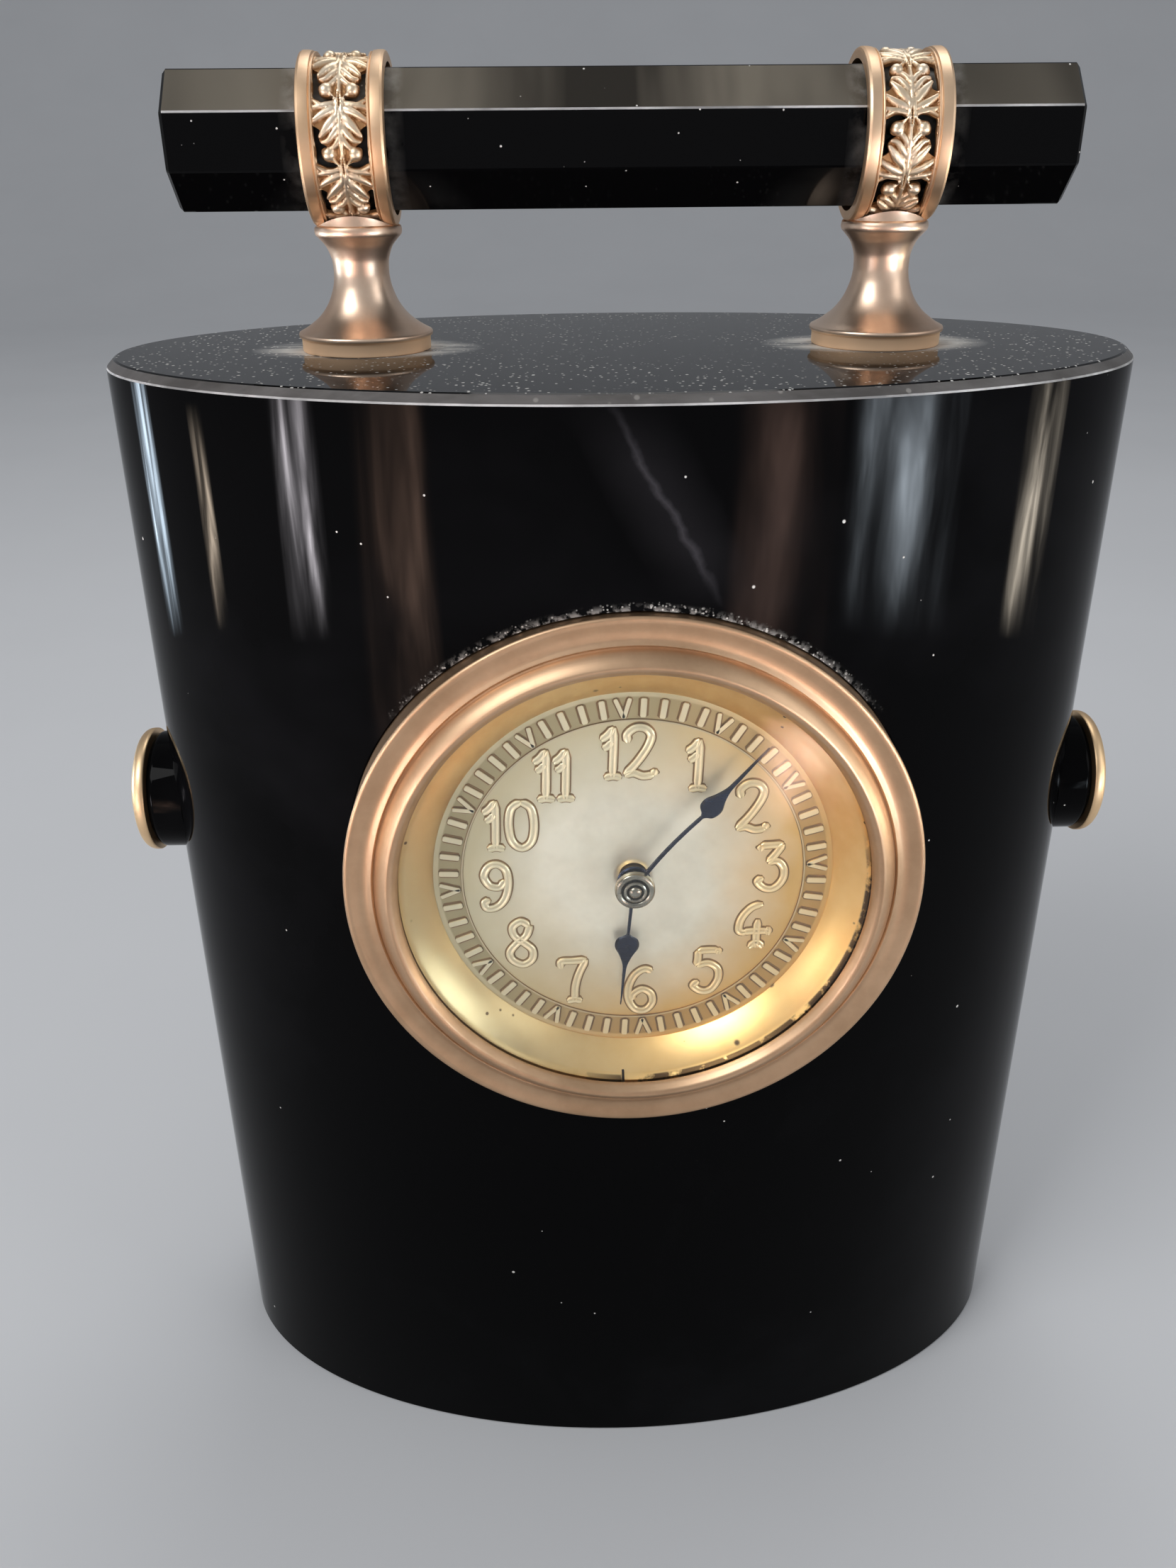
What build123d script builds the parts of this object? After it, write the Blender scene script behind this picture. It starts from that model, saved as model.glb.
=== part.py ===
from build123d import *

import os
from math import asin, atan2, cos, degrees, hypot, pi, radians, sin

# Desk clock: an elliptical column of polished black stone, bored through from front to back
# for a small lever timepiece, with an octagonal carrying bar held above it in two gilt posts.
# Sizes are in millimetres. +X is to the right, +Y goes away from the viewer, +Z is up, and the
# origin is the centre of the base. The clock's own axis lies along Y at the height dial_z.

# Column
body_width = 120.0
body_depth = 64.0
body_height = 148.5
top_chamfer = 1.5

# Handle. The post's heights are measured from the top of the column.
bar_flats = 13.9
bar_length = 98.0
bar_z = 170.5
bar_bevel = 0.4
post_x = 30.0
post_foot_radius = 7.45
post_foot_height = 1.5
post_skirt_radius = 7.75
post_skirt_height = 2.1
post_waist_radius = 3.15
post_waist_height = 8.8
post_cup_radius = 4.9
post_cup_height = 12.6
stud_radius = 1.5
stud_length = 9.0
spigot_radius = 1.2
collar_width = 9.2
collar_inner_radius = 7.6
collar_rim_radius = 8.75
collar_web_radius = 8.35
collar_rim_width = 1.6
collar_repeats = 8

# Side bosses
boss_z = 91.2
boss_seat_x = 58.2
roundel_radius = 7.9
roundel_shoulder = 1.0
roundel_outer_x = 62.8
cap_radius = 8.3
cap_outer_x = 65.9
cap_gap = 0.35

# Clock head: bezel, glass, sight ring, dial and drum, by depth along Y from the front
dial_z = 93.0
bezel_radius = 33.4
bezel_front = -33.1
bezel_crest = -34.8
bezel_band_radius = 30.2
bezel_crest_radius = 28.3
glass_opening = 27.1
glass_radius = 27.9
glass_front = -33.5
glass_apex = -35.3
glass_thickness = 0.9
sight_radius = 23.4
sight_rim = 0.7
notch_x = -1.6
notch_width = 0.35
notch_depth = 2.0
dial_front = -29.0
dial_thickness = 0.5
track_outer_radius = 22.8
track_inner_radius = 19.8
track_height = 0.15
front_seat = -26.0
flange_thickness = 0.8
drum_radius = 28.2
drum_wall = 0.6
drum_back = 29.0
bore_radius = 28.4
rear_seat = 27.2
rear_ring_radius = 31.2
rear_ring_back = 32.6
rear_ring_wall = 0.6
door_radius = 30.2
door_thickness = 1.0
thumb_tab_radius = 3.0
hinge_x = -31.7
hinge_y = 33.2
knuckle_radius = 0.95
hinge_pin_radius = 0.45

# Movement: plates, wheel train and motion work
front_plate_face = -24.0
front_plate_back = -22.8
back_plate_face = -9.0
back_plate_back = -7.8
plate_radius = 26.4
great_module = 0.3
centre_module = 0.3
third_module = 0.28
fourth_module = 0.24
cannon_module = 0.25
hour_module = 0.24
barrel_teeth = 72
centre_leaves = 12
centre_teeth = 64
third_leaves = 8
third_teeth = 60
fourth_leaves = 8
fourth_teeth = 60
escape_leaves = 6
escape_teeth = 15
escape_radius = 4.2
cannon_leaves = 12
minute_teeth = 36
minute_leaves = 10
hour_teeth = 40
ratchet_teeth = 24
ratchet_radius = 4.6
balance_radius = 7.8

# Backs of the wheels and pinions along Y
centre_wheel_back = -11.8
third_wheel_back = -18.6
fourth_wheel_back = -14.4
escape_wheel_back = -18.2
centre_pinion_back = -13.6
third_pinion_back = -11.1
fourth_pinion_back = -17.9
escape_pinion_back = -13.7
wheel_thickness = 0.6
pinion_length = 2.0

# Shafts, holes and screws
end_shake = 0.1
running_fit = 0.08
pivot_radius = 0.35
pivot_hole = 0.42
fine_pivot_radius = 0.3
fine_arbor_radius = 0.4
centre_arbor_radius = 1.1
centre_pivot_radius = 0.75
winding_radius = 1.0
winding_pivot_radius = 0.8
rivet_radius = 0.9
screw_radius = 0.6
small_screw_radius = 0.5
slot_width = 0.4

os.makedirs("parts", exist_ok=True)


# Places in the movement, as (x, z) from the clock's axis
def beside(place, angle, distance):
    """The place at that angle (degrees anticlockwise from +X, seen from the front) and distance."""
    return (
        place[0] + distance * cos(radians(angle)),
        place[1] + distance * sin(radians(angle)),
    )


def centres(module, teeth, leaves):
    """How far apart the arbors of two meshing wheels stand."""
    return module * (teeth + leaves) / 2


barrel_angle = 235
third_angle = 20
fourth_angle = 100
escape_angle = 170
pallet_angle = 190
balance_angle = 200
minute_angle = 160
pallet_distance = 6.0
balance_distance = 5.6
centre_at = (0.0, 0.0)
barrel_at = beside(centre_at, barrel_angle, centres(great_module, barrel_teeth, centre_leaves))
third_at = beside(centre_at, third_angle, centres(centre_module, centre_teeth, third_leaves))
fourth_at = beside(third_at, fourth_angle, centres(third_module, third_teeth, fourth_leaves))
escape_at = beside(fourth_at, escape_angle, centres(fourth_module, fourth_teeth, escape_leaves))
pallet_at = beside(escape_at, pallet_angle, pallet_distance)
balance_at = beside(pallet_at, balance_angle, balance_distance)
minute_at = beside(centre_at, minute_angle, centres(cannon_module, minute_teeth, cannon_leaves))


# Planes and axes
def facing(y, place=centre_at, turned=0.0):
    """A plane across the clock's axis at that depth. Extruding from it goes towards the viewer."""
    across = (cos(radians(turned)), 0, sin(radians(turned)))
    return Plane(origin=(place[0], y, dial_z + place[1]), x_dir=across, z_dir=(0, -1, 0))


def turning(place=centre_at):
    """A plane through a turned piece's axis: local x is the radius and local y is the depth."""
    return Plane(origin=(place[0], 0, dial_z + place[1]), x_dir=(1, 0, 0), z_dir=(0, 0, 1))


def along_y(place=centre_at):
    """The axis of a piece that turns at that place."""
    return Axis((place[0], 0, dial_z + place[1]), (0, 1, 0))


# Outlines that several pieces share
def shaft(sections, place=centre_at, bore=0.0):
    """Half the section of a shaft, from (radius, front y, back y) steps that follow one another."""
    points = [(bore, sections[0][1])]
    for radius, front, back in sections:
        points += [(radius, front), (radius, back)]
    points.append((bore, sections[-1][2]))
    with BuildSketch(turning(place)) as half:
        with BuildLine():
            Polyline(points, close=True)
        make_face()
    return half.sketch


# A tooth's half widths, as shares of the pitch, at its root, its pitch circle and its tip,
# each with its height from the pitch circle in modules
root_depth = 1.3
wheel_tooth = [(0.25, -root_depth), (0.2, 0), (0.07, 0.95)]
pinion_leaf = [(0.15, -root_depth), (0.15, 0), (0.08, 0.7)]


def ring_of_teeth(count, module, tooth, first_angle):
    """The corners of a toothed outline whose first tooth points at that angle."""
    corners = []
    for i in range(count):
        middle = first_angle + i * 360 / count
        flank = []
        for share, height in tooth:
            reach = module * (count / 2 + height)
            flank.append((degrees(share * pi * module / reach), reach))
        corners += [beside((0, 0), middle - half, reach) for half, reach in flank]
        corners += [beside((0, 0), middle + half, reach) for half, reach in reversed(flank)]
    return corners


def wheel(teeth, module, y, place, towards, rim=0.0, hub=0.0, spokes=4, bore=0.0):
    """A wheel with a tooth at the angle towards. With a rim, it is crossed out to its spokes."""
    root = module * (teeth / 2 - root_depth)
    with BuildSketch(facing(y, place)) as outline:
        with BuildLine():
            Polyline(ring_of_teeth(teeth, module, wheel_tooth, towards), close=True)
        make_face()
        if rim:
            Circle(root - rim, mode=Mode.SUBTRACT)
            Circle(hub)
            with PolarLocations(0, spokes, start_angle=towards):
                with Locations((root / 2, 0)):
                    Rectangle(root, rim * 0.9)
        if bore:
            Circle(bore, mode=Mode.SUBTRACT)
    return outline.sketch


def pinion(leaves, module, y, place, towards, bore=0.0):
    """A pinion, whose leaves are slimmer than teeth, with a gap at the angle towards."""
    with BuildSketch(facing(y, place)) as outline:
        with BuildLine():
            Polyline(ring_of_teeth(leaves, module, pinion_leaf, towards + 180 / leaves), close=True)
        make_face()
        if bore:
            Circle(bore, mode=Mode.SUBTRACT)
    return outline.sketch


def strap(start, end, width):
    """A straight strap between two places, to add to the sketch that is open."""
    length = hypot(end[0] - start[0], end[1] - start[1])
    middle = ((start[0] + end[0]) / 2, (start[1] + end[1]) / 2, 0)
    direction = degrees(atan2(end[1] - start[1], end[0] - start[0]))
    return Location(middle, (0, 0, direction)) * Rectangle(length, width, mode=Mode.PRIVATE)


# The column: an ellipse bored through, with flat seats for the bezel, the rear ring and the bosses
seat_clearance = 0.2
with BuildPart() as stone_body:
    with BuildSketch():
        Ellipse(body_width / 2, body_depth / 2)
    extrude(amount=body_height)
    chamfer(stone_body.edges().group_by(Axis.Z)[-1], top_chamfer)
    with BuildSketch(facing(body_depth)):
        Circle(bore_radius)
    extrude(amount=2 * body_depth, mode=Mode.SUBTRACT)
    with BuildSketch(facing(front_seat)):
        Circle(bezel_radius + seat_clearance)
    extrude(amount=body_depth, mode=Mode.SUBTRACT)
    with BuildSketch(facing(rear_seat)):
        Circle(rear_ring_radius + seat_clearance)
    extrude(amount=-body_depth, mode=Mode.SUBTRACT)
    with Locations((-post_x, 0, body_height), (post_x, 0, body_height)):
        Hole(stud_radius, stud_length + 0.5)
    for side in (-1, 1):
        seat = Plane(origin=(side * boss_seat_x, 0, boss_z), x_dir=(0, 1, 0), z_dir=(side, 0, 0))
        with BuildSketch(seat):
            Circle(roundel_radius + 0.15)
        extrude(amount=body_width / 2, mode=Mode.SUBTRACT)
        with BuildSketch(seat):
            Circle(stud_radius)
        extrude(amount=-stud_length - 0.5, mode=Mode.SUBTRACT)
stone_body.part.label = "stone_body"
export_step(stone_body.part, "parts/stone_body.step")

# The carrying bar, a regular octagon with a flat uppermost
with BuildPart() as handle_bar:
    with BuildSketch(Plane.YZ.offset(-bar_length / 2)):
        with Locations((0, bar_z)):
            RegularPolygon(bar_flats / 2, 8, major_radius=False, rotation=22.5)
    extrude(amount=bar_length)
    chamfer(handle_bar.faces().filter_by(Axis.X).edges(), bar_bevel)
handle_bar.part.label = "handle_bar"
export_step(handle_bar.part, "parts/handle_bar.step")

# Two turned posts, each on a plain foot with a stud in the stone. Above the foot a post flares
# in from the sharp edge of its skirt to a waist, and opens into a cup under the collar. Its top
# is saddled to seat the collar, with a short spigot that is riveted over inside it.
saddle_top = bar_z - body_height - collar_inner_radius * 0.9
cup_lip = 0.4
for side, name in ((-1, "left"), (1, "right")):
    x = side * post_x
    with BuildPart() as handle_post:
        with BuildSketch(Plane(origin=(x, 0, body_height), x_dir=(1, 0, 0), z_dir=(0, -1, 0))):
            with BuildLine():
                foot = Polyline(
                    (0, saddle_top),
                    (0, -stud_length),
                    (stud_radius, -stud_length),
                    (stud_radius, 0),
                    (post_foot_radius, 0),
                    (post_foot_radius, post_foot_height),
                    (post_skirt_radius, post_foot_height + 0.1),
                    (post_skirt_radius, post_skirt_height),
                )
                flare = Spline(
                    foot @ 1,
                    (5.1, 3.8),
                    (3.4, 6.8),
                    (post_waist_radius, post_waist_height),
                    tangents=[(-1, 0.4), (0, 1)],
                )
                cup = Spline(
                    flare @ 1,
                    (3.8, 11.3),
                    (post_cup_radius, post_cup_height),
                    tangents=[(0, 1), (1, 0.8)],
                )
                Polyline(
                    cup @ 1,
                    (post_cup_radius, post_cup_height + cup_lip),
                    (collar_width / 2, post_cup_height + cup_lip),
                    (collar_width / 2, saddle_top),
                    (0, saddle_top),
                )
            make_face()
        revolve(axis=Axis((x, 0, 0), (0, 0, 1)))
        with Locations(Location((x, 0, bar_z), (0, 90, 0))):
            Cylinder(collar_rim_radius, 2 * collar_width, mode=Mode.SUBTRACT)
        with BuildSketch(Plane.XY.offset(bar_z - collar_rim_radius - 1)):
            with Locations((x, 0)):
                Circle(spigot_radius)
        extrude(amount=1 + collar_rim_radius - collar_inner_radius)
    handle_post.part.label = f"{name}_handle_post"
    export_step(handle_post.part, f"parts/{name}_handle_post.step")

# Two pierced collars round the bar: plain rims, and between them a cast vine whose leaves
# leave pairs of openings beside a central stem. An opening is a claw at one end and a hook at
# the other, with a leaf's lobe between them, and the two collars run opposite ways.
window_edge = collar_width / 2 - collar_rim_width
for side, name in ((-1, "left"), (1, "right")):
    x = side * post_x
    with BuildPart() as pierced_collar:
        with BuildSketch(Plane(origin=(x, 0, bar_z), x_dir=(1, 0, 0), z_dir=(0, -1, 0))):
            with BuildLine():
                Polyline(
                    (-collar_width / 2, collar_inner_radius),
                    (collar_width / 2, collar_inner_radius),
                    (collar_width / 2, collar_rim_radius),
                    (window_edge, collar_rim_radius),
                    (window_edge, collar_web_radius),
                    (-window_edge, collar_web_radius),
                    (-window_edge, collar_rim_radius),
                    (-collar_width / 2, collar_rim_radius),
                    close=True,
                )
            make_face()
        revolve(axis=Axis((x, 0, bar_z), (1, 0, 0)))
        for k in range(collar_repeats):
            angle = radians(180 + 360 / collar_repeats * (k + 0.8))
            outward = (0, cos(angle), sin(angle))
            inside = (x, 7 * outward[1], bar_z + 7 * outward[2])
            with BuildSketch(Plane(origin=inside, x_dir=(-side, 0, 0), z_dir=outward)):
                with BuildLine():
                    rim = Line((window_edge - 0.15, -1.5), (window_edge - 0.15, 1.9))
                    claw = ThreePointArc(rim @ 1, (2.3, 1.4), (1.75, 1.15))
                    lobe = ThreePointArc(claw @ 1, (2.05, 0.4), (1.6, -0.3))
                    stem = ThreePointArc(lobe @ 1, (1.3, -0.85), (1.45, -1.5))
                    ThreePointArc(stem @ 1, (2.1, -1.95), rim @ 0)
                make_face()
                mirror(about=Plane.YZ)
            extrude(amount=collar_rim_radius - collar_inner_radius + 1, mode=Mode.SUBTRACT)
        with BuildSketch(Plane.XY.offset(bar_z - collar_rim_radius - 1)):
            with Locations((x, 0)):
                Circle(spigot_radius)
        extrude(amount=3, mode=Mode.SUBTRACT)
    pierced_collar.part.label = f"{name}_pierced_collar"
    export_step(pierced_collar.part, f"parts/{name}_pierced_collar.step")

# Side bosses: a black roundel in a flat seat, held by the stud of a gilt cap
shoulder_x = roundel_outer_x - 1.8
cap_edge_x = cap_outer_x - 1.6
for side, name in ((-1, "left"), (1, "right")):
    profile_plane = Plane(origin=(0, 0, boss_z), x_dir=(side, 0, 0), z_dir=(0, -side, 0))
    boss_axis = Axis((0, 0, boss_z), (1, 0, 0))
    with BuildPart() as side_roundel:
        with BuildSketch(profile_plane):
            with BuildLine():
                foot = Polyline(
                    (boss_seat_x, stud_radius),
                    (boss_seat_x, roundel_radius),
                    (shoulder_x, roundel_radius),
                )
                shoulder_end = (roundel_outer_x, roundel_radius - roundel_shoulder)
                shoulder = TangentArc(foot @ 1, shoulder_end, tangent=(1, 0))
                Polyline(shoulder @ 1, (roundel_outer_x, stud_radius), (boss_seat_x, stud_radius))
            make_face()
        revolve(axis=boss_axis)
    side_roundel.part.label = f"{name}_side_roundel"
    export_step(side_roundel.part, f"parts/{name}_side_roundel.step")
    with BuildPart() as boss_cap:
        with BuildSketch(profile_plane):
            with BuildLine():
                dome = ThreePointArc(
                    (cap_outer_x, 0),
                    (cap_outer_x - 0.45, cap_radius - 3.9),
                    (cap_edge_x, cap_radius - 0.8),
                )
                edge = ThreePointArc(
                    dome @ 1,
                    (cap_edge_x - 0.6, cap_radius),
                    (roundel_outer_x + cap_gap, cap_radius - 0.4),
                )
                Polyline(
                    edge @ 1,
                    (roundel_outer_x, cap_radius - 0.9),
                    (roundel_outer_x, stud_radius),
                    (boss_seat_x - stud_length, stud_radius),
                    (boss_seat_x - stud_length, 0),
                    (cap_outer_x, 0),
                )
            make_face()
        revolve(axis=boss_axis)
    boss_cap.part.label = f"{name}_boss_cap"
    export_step(boss_cap.part, f"parts/{name}_boss_cap.step")

# Bezel: a turned ring with a coved band, a fine groove and a raised bead, with its crest close
# to the glass and a lip that laps it
flange_front = front_seat - flange_thickness
with BuildPart() as bezel:
    with BuildSketch(turning()):
        with BuildLine():
            skirt = Polyline(
                (glass_radius + 0.1, glass_front),
                (glass_radius + 0.1, flange_front),
                (bezel_radius, flange_front),
                (bezel_radius, bezel_front + 0.5),
                (bezel_radius - 0.5, bezel_front),
            )
            cove = ThreePointArc(
                skirt @ 1,
                (bezel_band_radius + 1.4, bezel_front + 0.3),
                (bezel_band_radius, bezel_front + 0.1),
            )
            groove = Polyline(
                cove @ 1,
                (bezel_band_radius - 0.2, bezel_front + 0.25),
                (bezel_band_radius - 0.4, bezel_front - 0.1),
            )
            bead = ThreePointArc(
                groove @ 1,
                (bezel_crest_radius + 0.7, bezel_crest + 0.5),
                (bezel_crest_radius, bezel_crest),
            )
            lip = ThreePointArc(
                bead @ 1,
                (bezel_crest_radius - 0.6, bezel_crest + 0.25),
                (glass_opening + 0.2, bezel_crest + 0.8),
            )
            Polyline(lip @ 1, (glass_opening, glass_front), (glass_radius + 0.1, glass_front))
        make_face()
    revolve(axis=along_y())
bezel.part.label = "bezel"
export_step(bezel.part, "parts/bezel.step")

# Convex glass, held between the bezel's lip and the sight ring
glass_rise = glass_front - glass_apex
glass_edge = glass_opening - 0.05
glass_curve = (glass_edge**2 + glass_rise**2) / (2 * glass_rise)
glass_sweep = degrees(asin(glass_edge / glass_curve))
glass_centre = glass_apex + glass_curve
with BuildPart() as dial_glass:
    with BuildSketch(turning()):
        with BuildLine():
            outer = CenterArc((0, glass_centre), glass_curve, -90, glass_sweep)
            inner = CenterArc((0, glass_centre + glass_thickness), glass_curve, -90, glass_sweep)
            Line(outer @ 0, inner @ 0)
            Polyline(
                outer @ 1,
                (glass_radius, glass_front),
                (glass_radius, glass_front + glass_thickness),
                inner @ 1,
            )
        make_face()
    revolve(axis=along_y())
dial_glass.part.label = "dial_glass"
export_step(dial_glass.part, "parts/dial_glass.step")

# Sight ring: a thin gilt cone from the glass down to the dial, with a locating notch in its rim
sight_front = glass_front + glass_thickness
notch_at = (notch_x, notch_depth / 2 - glass_radius)
with BuildPart() as sight_ring:
    with BuildSketch(turning()):
        with BuildLine():
            Polyline(
                (glass_opening, sight_front),
                (glass_radius, sight_front),
                (glass_radius, sight_front + sight_rim),
                (glass_opening + 0.3, sight_front + sight_rim),
                (sight_radius + 0.7, dial_front),
                (sight_radius, dial_front),
                close=True,
            )
        make_face()
    revolve(axis=along_y())
    with BuildSketch(facing(dial_front, notch_at)):
        Rectangle(notch_width, notch_depth)
    extrude(amount=dial_front - glass_front, mode=Mode.SUBTRACT)
sight_ring.part.label = "sight_ring"
export_step(sight_ring.part, "parts/sight_ring.step")

# Dial: an embossed plate with a raised minute ring, on three feet
dial_back = dial_front + dial_thickness
dial_foot_radius = 20.5
dial_hole = 1.7
with BuildPart() as dial:
    with BuildSketch(facing(dial_back)):
        Circle(glass_radius - 0.1)
    extrude(amount=dial_thickness)
    with BuildSketch(facing(dial_front)):
        Circle(track_outer_radius)
        Circle(track_inner_radius, mode=Mode.SUBTRACT)
    extrude(amount=track_height)
    with BuildSketch(facing(front_plate_face)):
        with PolarLocations(dial_foot_radius, 3, start_angle=90):
            Circle(rivet_radius)
    extrude(amount=front_plate_face - dial_back)
    with BuildSketch(facing(front_plate_back)):
        with PolarLocations(dial_foot_radius, 3, start_angle=90):
            Circle(small_screw_radius)
    extrude(amount=front_plate_back - front_plate_face)
    with BuildSketch(facing(dial_back)):
        Circle(dial_hole)
    extrude(amount=dial_thickness, mode=Mode.SUBTRACT)
dial.part.label = "dial"
export_step(dial.part, "parts/dial.step")

# Drum: the tube that lines the bore, flanged in front, with lugs that carry the movement
lug_radius = 24.6
lug_angles = (30, 150, 270)
lug_thickness = 2.0
with BuildPart() as drum_case:
    with BuildSketch(turning()):
        with BuildLine():
            Polyline(
                (drum_radius - drum_wall, flange_front),
                (bezel_radius - 0.3, flange_front),
                (bezel_radius - 0.3, front_seat),
                (drum_radius, front_seat),
                (drum_radius, drum_back),
                (drum_radius - drum_wall, drum_back),
                close=True,
            )
        make_face()
    revolve(axis=along_y())
    with BuildSketch(facing(front_plate_back + lug_thickness)):
        for angle in lug_angles:
            lug_middle = beside(centre_at, angle, lug_radius + 0.6)
            with Locations(Location((*lug_middle, 0), (0, 0, angle))):
                Rectangle(5.2, 4.4)
    extrude(amount=lug_thickness)
    with BuildSketch(facing(front_plate_back + lug_thickness)):
        for angle in lug_angles:
            with Locations(beside(centre_at, angle, lug_radius)):
                Circle(screw_radius)
    extrude(amount=lug_thickness, mode=Mode.SUBTRACT)
drum_case.part.label = "drum_case"
export_step(drum_case.part, "parts/drum_case.step")

# Rear ring: screwed on the drum's threaded end, it clamps the stone. It carries the door's hinge.
knuckle_half = 1.5
with BuildPart() as rear_ring:
    with BuildSketch(turning()):
        with BuildLine():
            Polyline(
                (drum_radius, rear_seat),
                (rear_ring_radius, rear_seat),
                (rear_ring_radius, rear_ring_back - rear_ring_wall),
                (rear_ring_radius - rear_ring_wall, rear_ring_back),
                (drum_radius + rear_ring_wall, rear_ring_back),
                (drum_radius + rear_ring_wall, drum_back + 0.2),
                (drum_radius, drum_back + 0.2),
                close=True,
            )
        make_face()
    revolve(axis=along_y())
    with BuildSketch(Plane.XY.offset(dial_z - knuckle_half)):
        with Locations((hinge_x, hinge_y)):
            Circle(knuckle_radius)
        with Locations((hinge_x + 0.3, rear_ring_back - 1.1)):
            Rectangle(2 * knuckle_radius - 0.2, 2.2)
        with Locations((hinge_x, hinge_y)):
            Circle(hinge_pin_radius, mode=Mode.SUBTRACT)
    extrude(amount=2 * knuckle_half)
rear_ring.part.label = "rear_ring"
export_step(rear_ring.part, "parts/rear_ring.step")

# Rear door: a disc that laps the ring, with a locating lip, a thumb tab and two hinge knuckles
door_face = rear_ring_back + 0.1
door_lip = 2.0
knuckle_gap = 0.1
door_knuckle = 2.4
knuckle_stack = knuckle_half + knuckle_gap + door_knuckle
with BuildPart() as rear_door:
    with BuildSketch(facing(door_face + door_thickness)):
        Circle(door_radius)
        with Locations((door_radius, 0)):
            Circle(thumb_tab_radius)
    extrude(amount=door_thickness)
    with BuildSketch(facing(door_face)):
        Circle(drum_radius + 0.3)
        Circle(drum_radius - 0.7, mode=Mode.SUBTRACT)
    extrude(amount=door_lip)
    for base in (dial_z - knuckle_stack, dial_z + knuckle_half + knuckle_gap):
        with BuildSketch(Plane.XY.offset(base)):
            with Locations((hinge_x, hinge_y)):
                Circle(knuckle_radius)
            with Locations((hinge_x + 2 * knuckle_radius, door_face + door_thickness / 2)):
                Rectangle(3.0, door_thickness)
            with Locations((hinge_x, hinge_y)):
                Circle(hinge_pin_radius + 0.05, mode=Mode.SUBTRACT)
        extrude(amount=door_knuckle)
    with BuildSketch(Plane.XY.offset(dial_z - knuckle_half - knuckle_gap)):
        with Locations((hinge_x + 0.45, hinge_y)):
            Rectangle(3.2, 3.0)
    extrude(amount=2 * (knuckle_half + knuckle_gap), mode=Mode.SUBTRACT)
rear_door.part.label = "rear_door"
export_step(rear_door.part, "parts/rear_door.step")

pin_half = knuckle_stack + 0.2
with BuildPart() as door_hinge_pin:
    with BuildSketch(Plane.XY.offset(dial_z - pin_half)):
        with Locations((hinge_x, hinge_y)):
            Circle(hinge_pin_radius)
    extrude(amount=2 * pin_half)
door_hinge_pin.part.label = "door_hinge_pin"
export_step(door_hinge_pin.part, "parts/door_hinge_pin.step")

# Movement plates, with a hole for every pivot
pillar_radius = 23.5
pillar_angles = (118, 172, 290, 350)
train_places = (third_at, fourth_at, escape_at, pallet_at)
staff_hole = 1.0
cock_foot_at = beside(balance_at, 60, 10.8)
click_at = beside(barrel_at, 250, 7.6)
click_spring_at = beside(click_at, 20, 6.5)
with BuildPart() as front_plate:
    with BuildSketch(facing(front_plate_back)):
        Circle(plate_radius)
        for place in (*train_places, balance_at):
            with Locations(place):
                Circle(pivot_hole, mode=Mode.SUBTRACT)
        Circle(centre_pivot_radius + running_fit, mode=Mode.SUBTRACT)
        with Locations(barrel_at):
            Circle(winding_pivot_radius + running_fit, mode=Mode.SUBTRACT)
        with Locations(minute_at):
            Circle(small_screw_radius, mode=Mode.SUBTRACT)
        with PolarLocations(dial_foot_radius, 3, start_angle=90):
            Circle(small_screw_radius, mode=Mode.SUBTRACT)
        for angle in pillar_angles:
            with Locations(beside(centre_at, angle, pillar_radius)):
                Circle(rivet_radius, mode=Mode.SUBTRACT)
        for angle in lug_angles:
            with Locations(beside(centre_at, angle, lug_radius)):
                Circle(screw_radius, mode=Mode.SUBTRACT)
    extrude(amount=front_plate_back - front_plate_face)
front_plate.part.label = "front_plate"
export_step(front_plate.part, "parts/front_plate.step")

with BuildPart() as back_plate:
    with BuildSketch(facing(back_plate_back)):
        Circle(plate_radius)
        for place in train_places:
            with Locations(place):
                Circle(pivot_hole, mode=Mode.SUBTRACT)
        with Locations(balance_at):
            Circle(staff_hole, mode=Mode.SUBTRACT)
        Circle(centre_pivot_radius + running_fit, mode=Mode.SUBTRACT)
        with Locations(barrel_at):
            Circle(winding_radius + running_fit, mode=Mode.SUBTRACT)
        with Locations(cock_foot_at, click_at, click_spring_at):
            Circle(screw_radius, mode=Mode.SUBTRACT)
        for angle in pillar_angles:
            with Locations(beside(centre_at, angle, pillar_radius)):
                Circle(rivet_radius, mode=Mode.SUBTRACT)
    extrude(amount=back_plate_back - back_plate_face)
back_plate.part.label = "back_plate"
export_step(back_plate.part, "parts/back_plate.step")

# Pillars between the plates, and the screws that hold plates, movement and cock
pillar_body_radius = 1.6
with BuildPart() as plate_pillars:
    for angle in pillar_angles:
        place = beside(centre_at, angle, pillar_radius)
        steps = [
            (rivet_radius, front_plate_face, front_plate_back),
            (pillar_body_radius, front_plate_back, back_plate_face),
            (rivet_radius, back_plate_face, back_plate_back),
        ]
        revolve(shaft(steps, place, bore=small_screw_radius), axis=along_y(place))
plate_pillars.part.label = "plate_pillars"
export_step(plate_pillars.part, "parts/plate_pillars.step")

plate_screw_head = 1.5
plate_screw_top = back_plate_back + 0.8
with BuildPart() as plate_screws:
    for angle in pillar_angles:
        place = beside(centre_at, angle, pillar_radius)
        steps = [
            (small_screw_radius, back_plate_face - 3, back_plate_back),
            (plate_screw_head, back_plate_back, plate_screw_top),
        ]
        revolve(shaft(steps, place), axis=along_y(place))
        with BuildSketch(facing(plate_screw_top, place)):
            Rectangle(2 * plate_screw_head + 0.2, slot_width, rotation=angle)
        extrude(amount=0.4, mode=Mode.SUBTRACT)
plate_screws.part.label = "plate_screws"
export_step(plate_screws.part, "parts/plate_screws.step")

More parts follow.
